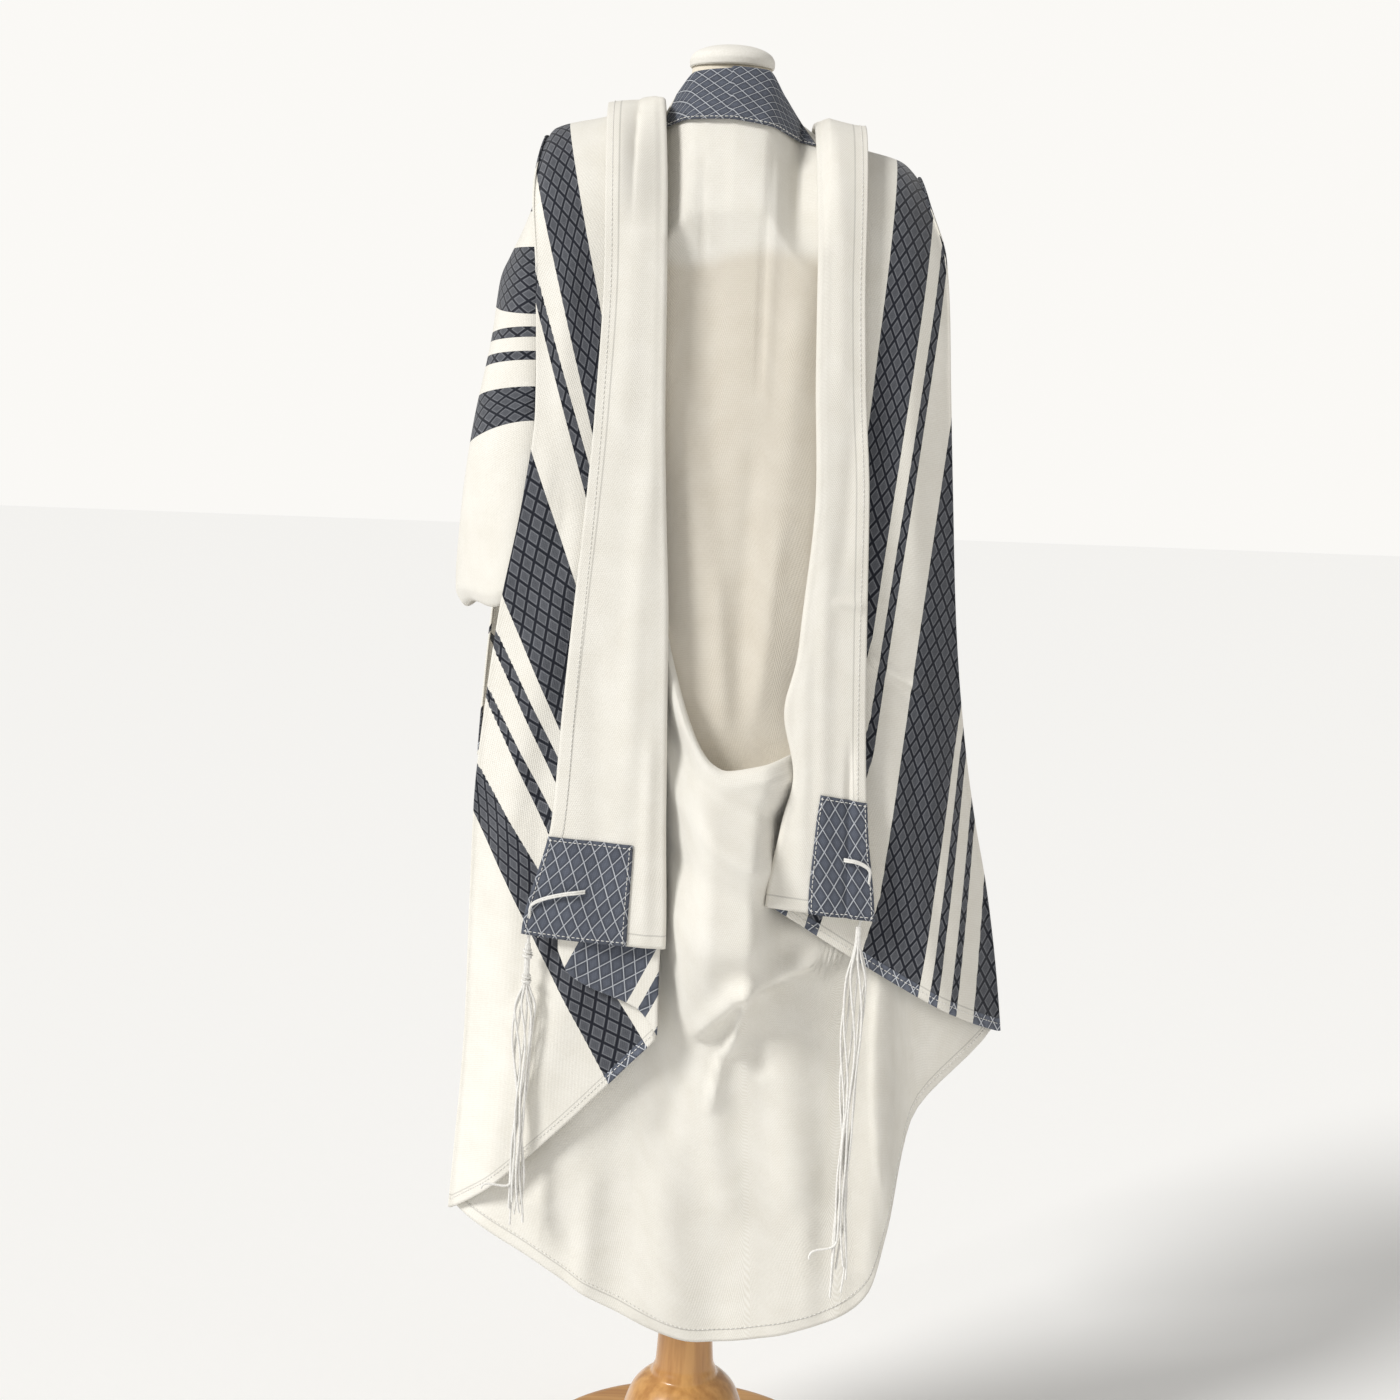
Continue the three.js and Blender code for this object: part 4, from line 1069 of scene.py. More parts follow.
# ------------------------------------------------------------------ back and front panels
@dataclass
class BackCloth:
    """The cloth down the back, above and below the cowl."""

    step: float = 4.5
    upper_creases: tuple[Crease, ...] = (
        Crease((-28, 1540), (-24, 1430), 3.0, -2.6),
        Crease((-26, 1560), (-30, 1500), 5.0, 1.5),
        Crease((46, 1545), (40, 1320), 3.0, -3.0, bow=2),
        Crease((52, 1500), (47, 1300), 4.0, 1.3),
        Crease((-60, 1300), (12, 960), 22, 5.0, bow=-10),
        Crease((-20, 1420), (20, 1000), 26, -3.0, bow=8),
        Crease((84, 1380), (60, 980), 20, 4.0, bow=6),
        Crease((6, 1080), (18, 940), 9, 2.6),
        Crease((36, 1200), (30, 960), 12, -2.6),
        Crease((66, 1130), (52, 960), 8, 2.2),
    )
    swags: tuple[Crease, ...] = (
        Crease((-56, 1040), (118, 884), 10, 7, bow=58),
        Crease((-54, 985), (134, 836), 13, -8, bow=52),
        Crease((-52, 900), (150, 780), 20, 9, bow=40, hard_side=0.6),
        Crease((-50, 812), (164, 742), 18, -8, bow=26),
        Crease((-52, 742), (120, 726), 24, 7, bow=30),
        Crease((-44, 980), (-14, 640), 15, 9, bow=10, hard_side=0.5),
        Crease((49, 652), (150, 690), 18, 15, hard_side=0.3),
        Crease((0, 598), (52, 656), 15, 12, hard_side=0.3),
    )
    lower_creases: tuple[Crease, ...] = (
        Crease((50, 655), (38, 585), 7, 9, hard_side=0.5),
        Crease((64, 640), (70, 560), 10, -7, bow=4),
        Crease((36, 600), (18, 520), 8, 8, bow=3, hard_side=0.5),
        Crease((-8, 600), (-30, 480), 16, -5),
        Crease((22, 540), (40, 400), 18, 5, bow=6),
        Crease((90, 620), (120, 420), 28, 6, bow=10),
        Crease((130, 620), (150, 360), 22, -6, bow=-8),
        Crease((196, 660), (214, 420), 12, 10, bow=6, hard_side=0.5),
        Crease((165, 640), (178, 330), 22, -6),
        Crease((228, 640), (222, 520), 14, -8),
        Crease((-130, 560), (-150, 380), 26, 5),
        Crease((-190, 520), (-200, 360), 20, -5),
        Crease((-70, 480), (-80, 300), 30, -5),
        Crease((-30, 420), (-20, 270), 24, 5),
        Crease((-110, 420), (-120, 290), 14, 4),
        Crease((130, 380), (135, 270), 14, 4),
    )

    def upper(self) -> Sheet:
        """The panel from the neck down behind the cowl."""
        x, path = np.meshgrid(np.arange(-PANEL_HALF, PANEL_HALF + 1, self.step),
                              np.linspace(0, 1, 190) ** 1.15)
        low = panel_seam(x) - 44.0 * rim_share(x)
        whole = ROUND_PATH + DrapedForm.shoulder(x, 0.0) - ROUND_FALL - low
        z = DrapedForm.follow_down(x, 0.0, mix(0.6, whole, path))
        quiet = smooth(path * 5) * smooth((188 - np.abs(x)) / 20)
        lift = (creased(self.upper_creases, x, z) + hang(x, z, 0.4, 1.6)) * quiet
        points = DrapedForm.place(x, z, 0.0, Face.BACK)
        points[..., 1] -= lift
        # Painted shade: below a wavy line near 1432 mm the cloth between the bands takes the darker, warmer
        # painted-shade colours.
        under = smooth((1432 + 0.08 * x + 5 * np.sin(x / 23) - z) / 22)
        return Sheet("back_cloth_upper", points, plain_uv(points), ("back_panel_upper",), "wool_cloth",
                     "draped", ("dress_form_torso",), {"under": under})

    def lower(self) -> Sheet:
        """The panel from the cowl's rim down to the back hem."""
        top_x = np.arange(SEAM_LEFT, SEAM_RIGHT + 1, self.step)
        u = (top_x - SEAM_LEFT) / (top_x[-1] - SEAM_LEFT)
        share = rim_share(top_x)
        seam = panel_seam(top_x) - smooth((np.abs(top_x) - SIDE_SEAM_FROM) / SIDE_SEAM_OVER) * SIDE_SEAM_DROP
        rim = np.linspace(0, 1, 26)[:, None]
        rim_z = seam - mix(RIM.read("down", rim), 3.0, share) + RIM.read("rise", rim) * COWL["rise"] * share
        tuck = 1 - RIM_TUCK * smooth((top_x - RIM_TUCK_FROM) / RIM_TUCK_OVER)
        rim_lift = (RIM.read("out", rim) * COWL["lift"] * tuck + 2.4) * share
        rim_x = np.broadcast_to(top_x, rim_z.shape)
        v = np.linspace(0, 1, 175)[1:, None]
        hem_x, hem_z = BACK_HEM.read("x", u), BACK_HEM.read("z", u)
        x, z = mix(top_x, hem_x, v), mix(rim_z[-1], hem_z, v)
        x = x - np.sign(x) * SIDE_INSET * smooth((np.abs(u - 0.5) - 0.38) / 0.12) * smooth(v * 6) \
            * smooth((1 - v) * 5)
        hold = cowl_hold(np.where(x > COWL["middle"], x * COWL_SIDE_PULL, x))
        lift = mix(rim_lift[-1], COWL_BULGE.read("lift", z) * hold, smooth(v / 0.12))
        x, z = np.vstack([rim_x, x]), np.vstack([rim_z, z])
        lift = np.vstack([rim_lift, lift])
        fall = np.clip((np.arange(len(x)) - 14) / 30, 0, 1)[:, None]
        folds = creased(self.swags + self.lower_creases, x, z) * smooth(fall * 1.4)
        room = mix(OPEN_ROOM, WING_ROOM, smooth((np.abs(x - COWL["middle"]) - 58) / 44))
        folds = room * np.tanh(folds / room)
        pucker = hang(x * 2.2, z * 0.7, 1.1, 2.6) * smooth((np.linspace(0, 1, len(x))[:, None] - 0.8) / 0.2)
        edge = smooth(u / 0.24) * smooth((1 - u) / 0.24)
        points = DrapedForm.place(x, z, lift, Face.BACK)
        points[..., 1] -= (folds + hang(x, z, 2.0, 2.4) * fall + pucker) * edge
        down = path_lengths(points, 0)
        return Sheet("back_cloth_lower", points, plain_uv(points), ("back_panel_lower",), "wool_cloth",
                     "gathered", ("back_cloth_upper",), {"hem": (down[-1:] - down) * MM})


FRONT_EDGE = Table("v x z", (0.0, 74, 1564), (0.15, 84, 1480), (0.4, 112, 1300), (0.7, 166, 1080),
                   (1.0, 232, 884))
FRONT_SIDE_X, FRONT_SIDE_FROM, FRONT_SIDE_OVER = 246.0, 0.8, 0.16   # its outer edge below the arm
FRONT_LOW = (884.0, 866.0)     # heights of its lower edge, at the neck edge and at the side


def front_cloth(side: Side) -> Sheet:
    """The panel from the shoulder down the front, behind the wing.

    Args:
        side: which side.

    Returns:
        The sheet.
    """
    u, v = np.meshgrid(np.linspace(0, 1, 34), np.linspace(0, 1, 150))
    outer = mix(PANEL_HALF, FRONT_SIDE_X, smooth((v - FRONT_SIDE_FROM) / FRONT_SIDE_OVER))
    x = side.value * mix(FRONT_EDGE.read("x", v), outer, u)
    low = mix(*FRONT_LOW, u)
    whole = ROUND_PATH + DrapedForm.shoulder(x, 0.0) - ROUND_FALL - low
    z = DrapedForm.follow_down(x, 0.0, mix(1.2, whole, v))
    points = DrapedForm.place(x, z, 0.0, Face.FRONT)
    points[..., 1] += hang(x, z, 3.0 + side.value, 1.5) * smooth(v * 4)
    return Sheet(f"{side.label}_front_cloth", points, plain_uv(points), (f"{side.label}_front_panel",),
                 "wool_cloth", "draped", ("dress_form_torso",))


# ------------------------------------------------------------------ wings and bands
WING_INSET = 0.012             # share of its width by which the wing starts outside the band's fold
ROLL_TURN = math.pi * 0.85     # how far the wing's outer fold turns under
BAND_FOLD_RADIUS = 5.2         # of the band's rounded inner fold
PATCH_HEIGHT = {Side.LEFT: 112, Side.RIGHT: 128}
PATCH_FIRST_COLUMN = {Side.LEFT: 8, Side.RIGHT: 12}   # the band's column where its patch starts
FALL_FROM = 1500.0             # height from which a fall's start on the shoulder is looked up


@dataclass
class ShoulderFolds:
    """The wing and the shoulder band of one side, over the shoulder from front to back."""

    side: Side
    wing_creases: dict[Face, tuple[Crease, ...]]
    band_creases: dict[Face, tuple[Crease, ...]]
    step: float = 4.6
    roll: float = 5.0

    def _rows(self, face: Face) -> Array:
        """Fractions down the fall, from the shoulder line to the lower end."""
        length = 1450 if face is Face.BACK else 980
        return np.linspace(0, 1, int(length / self.step))

    def _fall(self, fall: Fall, inner: str, outer: str, bottom: Array, lift: Array, u: Array,
              v: Array) -> tuple[Array, Array]:
        """Place across and up of a layer that falls between two edges.

        Args:
            fall: lower ends of the layers.
            inner: the table's column of the inner edge.
            outer: the table's column of the outer edge.
            bottom: height of the lower end.
            lift: the layer's lift.
            u: fractions across.
            v: fractions down.

        Returns:
            X and Z.
        """
        edges = EDGES[(fall.side, fall.face)]
        top = np.full_like(u, FALL_FROM)
        for _ in range(5):
            top_x = fall.side.value * mix(edges.read(inner, top), edges.read(outer, top), u)
            top = DrapedForm.shoulder(top_x, lift)
        z = DrapedForm.follow_down(top_x, lift, v * (ROUND_PATH + top - ROUND_FALL - bottom))
        return fall.side.value * mix(edges.read(inner, z), edges.read(outer, z), u), z

    @staticmethod
    def _wing_lift(u: Array, v: Array) -> Array:
        """Lift of the wing: close to the panel at the side fold, up at the inner one."""
        low = 8 * smooth((v - 0.5) / 0.5)
        inner = WING_LIFT + low + 5.5 * (1 - smooth(u / 0.15))
        outer = smooth((u - 0.75) / 0.25) * smooth((v - 0.55) / 0.15)
        return mix(inner, CLOTH + 4.4, outer)

    def wing(self) -> Sheet:
        """The striped wing, front fall and back fall in one cloth."""
        parts, places, marks = [], [], []
        curl = np.sin(np.linspace(0, ROLL_TURN, 7))[1:]
        tuck = (1 - np.cos(np.linspace(0, ROLL_TURN, 7)))[1:]
        for face in (Face.FRONT, Face.BACK):
            fall = FALLS[(self.side, face)]
            u, v = np.meshgrid(np.linspace(0, 1, 48), self._rows(face))
            bottom = mix(fall.wing_fold, fall.wing_outer, u)
            lift = self._wing_lift(u, v)
            x, z = self._fall(fall, "fold", "wing", bottom, lift, mix(WING_INSET, 1.0, u), v)
            calm = smooth(v * 6)
            folds = creased(self.wing_creases[face], x, z) + hang(x, z, 4.0 + self.side.value, 2.0)
            trough = mix(WING_TROUGH, 0.4, smooth((u - 0.55) / 0.25))
            folds = np.maximum(folds * calm * mix(1.0, 0.45, smooth((u - 0.8) / 0.2)), -trough)
            points = DrapedForm.place(x, z, lift, face)
            points[..., 1] += face.value * folds
            edge = points[:, -1:]
            roll = np.repeat(edge, len(curl), axis=1)
            roll[..., 0] += self.side.value * self.roll * curl * 0.8
            inward = self.roll * tuck * 0.45 * smooth(v[:, :1] * 3)
            roll[..., 1] -= face.value * inward
            points = np.concatenate([points, roll], axis=1)
            hem = np.where(v > 0.5, (z - bottom) * 0.92 * MM, 1.0)
            hem = np.concatenate([hem, np.repeat(hem[:, -1:], len(curl), axis=1)], axis=1)
            places.append(self._wing_uv(points, len(curl), face))
            parts.append(points if face is Face.BACK else points[::-1][:-1])
            marks.append(hem if face is Face.BACK else hem[::-1][:-1])
        uv = np.concatenate([places[0][::-1][:-1], places[1]])
        points = np.concatenate(parts)
        label = self.side.label
        return Sheet(f"{label}_wing_cloth", points, uv,
                     (f"{label}_back_wing", f"{label}_front_wing"), "striped_cloth", "folded",
                     ("back_cloth_upper", "back_cloth_lower"),
                     {"hem": np.concatenate(marks)})

    def _wing_uv(self, points: Array, rolled: int, face: Face) -> Array:
        """Cloth coordinates of the wing: distance from the short end, and along the stripes.

        Args:
            points: the wing's grid.
            rolled: how many of its columns turn under at the outer fold.
            face: back or front.

        Returns:
            Coordinates in metres.
        """
        lines = STRIPE_LINES[self.side]
        across, down = path_lengths(points, 1), path_lengths(points, 0)
        last = points.shape[1] - rolled - 1
        out = self.side.value * points[..., 0]
        out[:, last:] = out[:, last:last + 1] + across[:, last:] - across[:, last:last + 1]
        distance = lines.distance(out, points[..., 2])
        middle = last // 2
        level = points[..., 2] - points[:, middle:middle + 1, 2] - down[:, middle:middle + 1]
        along = out * math.sin(lines.tilt) + level * math.cos(lines.tilt)
        return np.stack([distance * MM, along * MM * face.value * -1], axis=-1)

    def _band_lift(self, u: Array, v: Array) -> Array:
        """Lift of the shoulder band, rounded down at its inner fold and further out lower down."""
        ridge = (14 * u - 3.0 if self.side is Side.RIGHT else 2 * u - 1.5) * (1 - smooth(v * 5))
        return BAND_LIFT + 14 * smooth((v - 0.5) / 0.5) - 1.0 * (1 - smooth(u / 0.14)) + ridge

    def band_grid(self, face: Face) -> tuple[Array, Array]:
        """Points of the band's fall on one face, and its fractions down.

        Args:
            face: back or front.

        Returns:
            The grid and its rows' fractions.
        """
        fall = FALLS[(self.side, face)]
        u, v = np.meshgrid(np.linspace(0, 1, 34), np.linspace(0, 1, 245 if face is Face.BACK else 215))
        bottom = mix(fall.band_fold, fall.band_end, u)
        lift = self._band_lift(u, v)
        x, z = self._fall(fall, "fold", "end", bottom, lift, u, v)
        if self.side is Side.RIGHT and face is Face.BACK:
            x = x - (12 * np.exp(-((z - 955) / 40) ** 2) - 5 * np.exp(-((z - 880) / 30) ** 2)) * (1 - u) ** 2
        folds = creased(self.band_creases[face], x, z) + hang(x, z, 6.0 + self.side.value, 1.1)
        points = DrapedForm.place(x, z, lift, face)
        points[..., 1] += face.value * folds * smooth(v * 8) * smooth((1 - u) * 4 + 0.3)
        return points, v[:, 0]

    def band(self) -> Sheet:
        """The shoulder band with its rounded inner fold."""
        turn = np.linspace(0, math.pi, 9)[1:]
        parts = []
        for face in (Face.FRONT, Face.BACK):
            points, rows = self.band_grid(face)
            edge = np.repeat(points[:, :1], len(turn), axis=1)
            flat = smooth(rows * 4)[:, None]
            edge[..., 0] -= self.side.value * BAND_FOLD_RADIUS * np.sin(turn)
            edge[..., 1] -= face.value * BAND_FOLD_RADIUS * 0.9 * (1 - np.cos(turn)) * flat
            edge[..., 2] -= BAND_FOLD_RADIUS * 0.9 * (1 - np.cos(turn)) * (1 - flat)
            points = np.concatenate([edge[:, ::-1], points], axis=1)
            parts.append(points if face is Face.BACK else points[::-1][:-1])
        points = np.concatenate(parts)
        across = path_lengths(points[:, ::-1], 1)[:, ::-1]
        down = path_lengths(points, 0)
        uv = np.stack([across * MM * 0.98, -down * MM], axis=-1)
        label = self.side.label
        ends = np.minimum(down, down[-1:] - down) * MM
        return Sheet(f"{label}_band_cloth", points, uv, (f"{label}_back_band", f"{label}_front_band"),
                     "wool_cloth", "folded", (f"{label}_wing_cloth",), {"hem": np.minimum(uv[..., 0], ends)})

    def patch(self, face: Face) -> Sheet:
        """The corner patch sewn on the band's lower end.

        Args:
            face: back or front.

        Returns:
            The sheet.
        """
        points, rows = self.band_grid(face)
        step = np.linalg.norm(points[-1, 10] - points[-2, 10])
        first = len(rows) - int(PATCH_HEIGHT[self.side] / step) - 1
        sheet = Sheet("", points, np.zeros((*points.shape[:2], 2)), (), "", "", ())
        normal = sheet.normals()
        top = (points + normal * (PATCH_LIFT - 0.5))[first:, PATCH_FIRST_COLUMN[self.side]:]
        across = path_lengths(top[:, ::-1], 1)[:, ::-1]
        down = path_lengths(top, 0)
        uv = np.stack([across * MM, -down * MM], axis=-1)
        label = f"{self.side.label}_{face.label}"
        return Sheet(f"{label}_patch_cloth", top, uv, (f"{label}_corner_patch",), "diamond_cloth",
                     "laid", (f"{self.side.label}_band_cloth",), thickness=1.2)


SLEEVE_TOP = 1502.0
SLEEVE_START = 194.0
SLEEVE_TURN = 0.88            # share of its length above the fold at the elbow
SLEEVE_ROLL = 14.0            # height of that fold


@dataclass
class ArmLoop:
    """The cloth that hangs over the upper arm and turns under at elbow height."""

    side: Side
    bottom: float
    curl: float

    def _reach(self, z: Array) -> Array:
        """How far out the loop reaches at a height."""
        steps = np.arange(SLEEVE_START + 4, 284.0, 0.25)
        heights = SHOULDER_LINE.read(self.side.label, steps)
        return np.interp(-z, -heights, steps)

    def cloth(self) -> Sheet:
        """The loop's sheet, with its soft lower fold."""
        u, v = np.meshgrid(np.linspace(0, 1, 84), np.linspace(0, 1, 130))
        fall = np.minimum(v / SLEEVE_TURN, 1)
        under = np.maximum((v - SLEEVE_TURN) / (1 - SLEEVE_TURN), 0)
        z = mix(SLEEVE_TOP, self.bottom + SLEEVE_ROLL, fall) - SLEEVE_ROLL * np.sin(under * math.pi)
        z = z - 2 * under
        angle = np.abs(u - 0.5) * math.pi
        inset = SLEEVE_START + 8 * under
        widest = self._reach(z) - self.curl * under * 0.8
        x = inset + (widest - inset) * np.cos(angle)
        deep = np.where(u < 0.5, -DrapedForm.depth(self.side.value * inset, z, 0.0, Face.BACK),
                        DrapedForm.depth(self.side.value * inset, z, 0.0, Face.FRONT))
        y = np.where(u < 0.5, -1, 1) * (deep - self.curl * under * 0.6) * np.sin(angle)
        swell = 6.0 * np.sin(u * 11 + z / 70.0) * smooth(v * 2) + hang(y, z, 5.0, 3.5)
        x = x + (swell - 3.0) * np.cos(angle) * smooth(v * 4)
        z = z + (9.0 * np.sin(u * 8.0 + 1.0) + 6.0 * np.cos(u * 17.0)) * smooth((v - 0.45) / 0.5)
        points = np.stack([self.side.value * x, y, z], axis=-1)
        around = path_lengths(points, 1)
        wide = np.cos(angle) ** 2
        distance = mix(LOOP_WEAVE.read("edge", z), LOOP_WEAVE.read("wide", z), wide)
        uv = np.stack([distance * MM, around * MM], axis=-1)
        label = self.side.label
        return Sheet(f"{label}_loop_cloth", points, uv, (f"{label}_arm_loop",), "striped_cloth", "draped",
                     (f"{label}_wing_cloth",))


# ------------------------------------------------------------------ neckband and hem fold
ATARA = Table("s edge_x low_x low_z", (0.0, 0, 2, 1566), (0.09, 38, 44, 1565), (0.16, 58, 74, 1558),
              (0.2, 78, 94, 1556))


ATARA_ENDS = (-0.16, 0.198)    # how far the strip runs each way from the middle, along the table's s
ATARA_TILT, ATARA_TILT_AT = 10.0, 0.195   # how much lower it hangs on the right, and where


def neckband() -> Sheet:
    """The atara: the diamond-woven strip sewn round the neck edge."""
    s, v = np.meshgrid(np.linspace(*ATARA_ENDS, 78), np.linspace(0, 1, 24))
    side = np.where(s < 0, -1.0, 1.0)
    edge_x = side * ATARA.read("edge_x", np.abs(s))
    low_x = side * ATARA.read("low_x", np.abs(s))
    x = mix(edge_x, low_x, v)
    tilt = np.where(s > 0, ATARA_TILT * s / ATARA_TILT_AT, 0.0)
    low = ATARA.read("low_z", np.abs(s)) - tilt
    z = mix(DrapedForm.shoulder(edge_x, 0.0) - 0.5, low, v)
    points = DrapedForm.place(x, z, PATCH_LIFT + 1.6, Face.BACK)
    around, down = path_lengths(points, 1), path_lengths(points, 0)
    uv = np.stack([-down * MM, around * MM], axis=-1)
    return Sheet("atara_cloth", points, uv, ("atara_neckband",), "diamond_cloth", "laid",
                 ("back_cloth_upper",), thickness=1.4, upright=False)


FOLD_HEM = Table("u z", (0, 688), (0.1, 664), (0.3, 650), (0.8, 628), (1, 600))


def hem_fold() -> Sheet:
    """The left side's lower hem folded back below the band, with its other face out."""
    u, v = np.meshgrid(np.linspace(0, 1, 36), np.linspace(0, 1, 34))
    x = mix(-152.0, -43.0, u)
    z = mix(716.0, FOLD_HEM.read("z", u), v)
    lift = 30.5 - 3.0 * smooth((v - 0.8) / 0.2) + 1.5 * np.sin(u * 5 + v * 2)
    points = DrapedForm.place(x, z, lift, Face.BACK)
    lean = math.radians(26.5)       # the stripes run down towards the outer side
    from_x, from_z = x + 53.0, z - 686.0
    distance = 350 + from_x * math.cos(lean) - from_z * math.sin(lean)
    along = from_x * math.sin(lean) + from_z * math.cos(lean)
    uv = np.stack([distance * MM, along * MM], axis=-1)
    return Sheet("hem_fold_cloth", points, uv, ("left_hem_fold",), "diamond_cloth", "folded",
                 ("left_wing_cloth",))


# ------------------------------------------------------------------ dress form and stand
TORSO = Table("z half back front", (880, 138, 92, 92), (888, 146, 98, 98), (950, 154, 106, 104),
              (1040, 142, 96, 94), (1130, 128, 86, 88), (1240, 138, 92, 106), (1340, 154, 100, 114),
              (1430, 166, 92, 98), (1480, 168, 74, 74), (1508, 154, 58, 56), (1528, 122, 48, 48),
              (1544, 82, 44, 44), (1562, 54, 44, 43), (1590, 45, 42, 42), (1625.7, 43, 42, 42))


class DressForm:
    """The limbless form under the shawl, with its neck cap, post, turning and base."""

    def __init__(self, finishes: Finishes) -> None:
        """Keep the finishes."""
        self.finishes = finishes

    @staticmethod
    def _skin(name: str, rings: Array, finish: bpy.types.Material, node: str, slot: str) -> bpy.types.Object:
        """Closed skin over rings, flat at both ends.

        Args:
            name: the piece's name.
            rings: rings of points from the bottom up.
            finish: its material.
            node: the CAD node that it stands for.
            slot: the record's material slot; not used.

        Returns:
            The piece.
        """
        levels, count = rings.shape[:2]
        index = np.arange(levels * count).reshape(levels, count)
        after = np.roll(index, -1, axis=1)
        quads = np.stack([index[:-1], after[:-1], after[1:], index[1:]], axis=-1).reshape(-1, 4)
        mesh = bpy.data.meshes.new(name)
        faces = quads.tolist() + [index[0][::-1].tolist(), index[-1].tolist()]
        mesh.from_pydata((rings.reshape(-1, 3) * MM).tolist(), [], faces)
        mesh.polygons.foreach_set("use_smooth", [True] * len(quads) + [False, False])
        mesh.materials.append(finish)
        obj = link(name, mesh)
        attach(obj, "root")
        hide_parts(node)
        log.info("%s: %d faces", name, len(faces))
        return obj

    def torso(self) -> None:
        """The padded torso, smooth and whole."""
        keys = TORSO.rows[:, 0]
        z = np.unique(np.concatenate([np.linspace(keys[0], keys[-1], 90), keys]))[:, None]
        angle = np.linspace(0, 2 * math.pi, 120, endpoint=False)[None, :]
        deep = np.where(np.sin(angle) < 0, TORSO.read("back", z), TORSO.read("front", z))
        x, y = TORSO.read("half", z) * np.cos(angle), deep * np.sin(angle)
        rings = np.stack([x, y, np.broadcast_to(z, x.shape)], axis=-1)
        self._skin("form_torso", rings, self.finishes.cover, "dress_form_torso", "form_cover")

    def _turned(self, name: str, profile: Table, finish: bpy.types.Material, node: str, slot: str,
                rows: int) -> None:
        """Body turned round the vertical axis.

        Args:
            name: the piece's name.
            profile: radius and height by position along the profile.
            finish: its material.
            node: the CAD node that it stands for.
            slot: the record's material slot.
            rows: how many rings.
        """
        t = np.unique(np.concatenate([np.linspace(profile.rows[0, 0], profile.rows[-1, 0], rows),
                                      profile.rows[:, 0]]))[:, None]
        angle = np.linspace(0, 2 * math.pi, 96, endpoint=False)[None, :]
        radius, z = profile.read("r", t), profile.read("z", t)
        rings = np.stack([radius * np.cos(angle), radius * np.sin(angle),
                          np.broadcast_to(z, (len(t), 96))], axis=-1)
        self._skin(name, rings, finish, node, slot)

    def cap(self) -> None:
        """The neck cap: a low dome over a rounded rim."""
        profile = Table("t r z", (0, 44.5, 1626), (1, 45.8, 1628), (2, 46, 1633), (3, 43.5, 1639),
                        (4, 36, 1644.5), (5, 20, 1649), (6, 2, 1650))
        self._turned("neck_cap_cover", profile, self.finishes.cap, "neck_cap", "form_cover", 40)

    def stand(self) -> None:
        """The post, the turned foot and the round base."""
        post = Table("t r z", (0, 15, 190.3), (1, 15, FORM_BOTTOM - 0.3))
        self._turned("post", post, self.finishes.wood, "stand_post", "varnished_wood", 4)
        foot = Table("t r z", (0, 74, 24.3), (1, 77.5, 30), (2, 78, 40), (3, 75.5, 64), (4, 70, 86),
                     (5, 61, 108), (6, 49, 121), (7, 39.5, 127.5), (8, 37.5, 133), (9, 34.5, 141),
                     (10, 33, 160), (11, 32, 178), (12, 30, 188), (13, 27, 190))
        self._turned("turned_foot", foot, self.finishes.wood, "stand_turning", "varnished_wood", 110)
        base = Table("t r z", (0, 186, 0), (1, 189.5, 2), (2, 190, 6), (3, 190, 13), (4, 188, 18),
                     (5, 183, 22.5), (6, 176, 24))
        self._turned("round_base", base, self.finishes.board, "stand_base", "varnished_wood", 40)


# ------------------------------------------------------------------ tassels
CORD_RADIUS, CORD_SIDES, CORD_STEP = 0.00125, 7, 0.0035   # metres, but for the sides
STRANDS = 8
STRAY_STRAND = 3               # the strand whose end stands out to the side
LOOP_HALF_GAP = 1.1            # half the distance between the two cords over the corner
KNOT_BELOW, KNOT_PITCH = 12.0, 28.0   # first knot under the corner, and from knot to knot


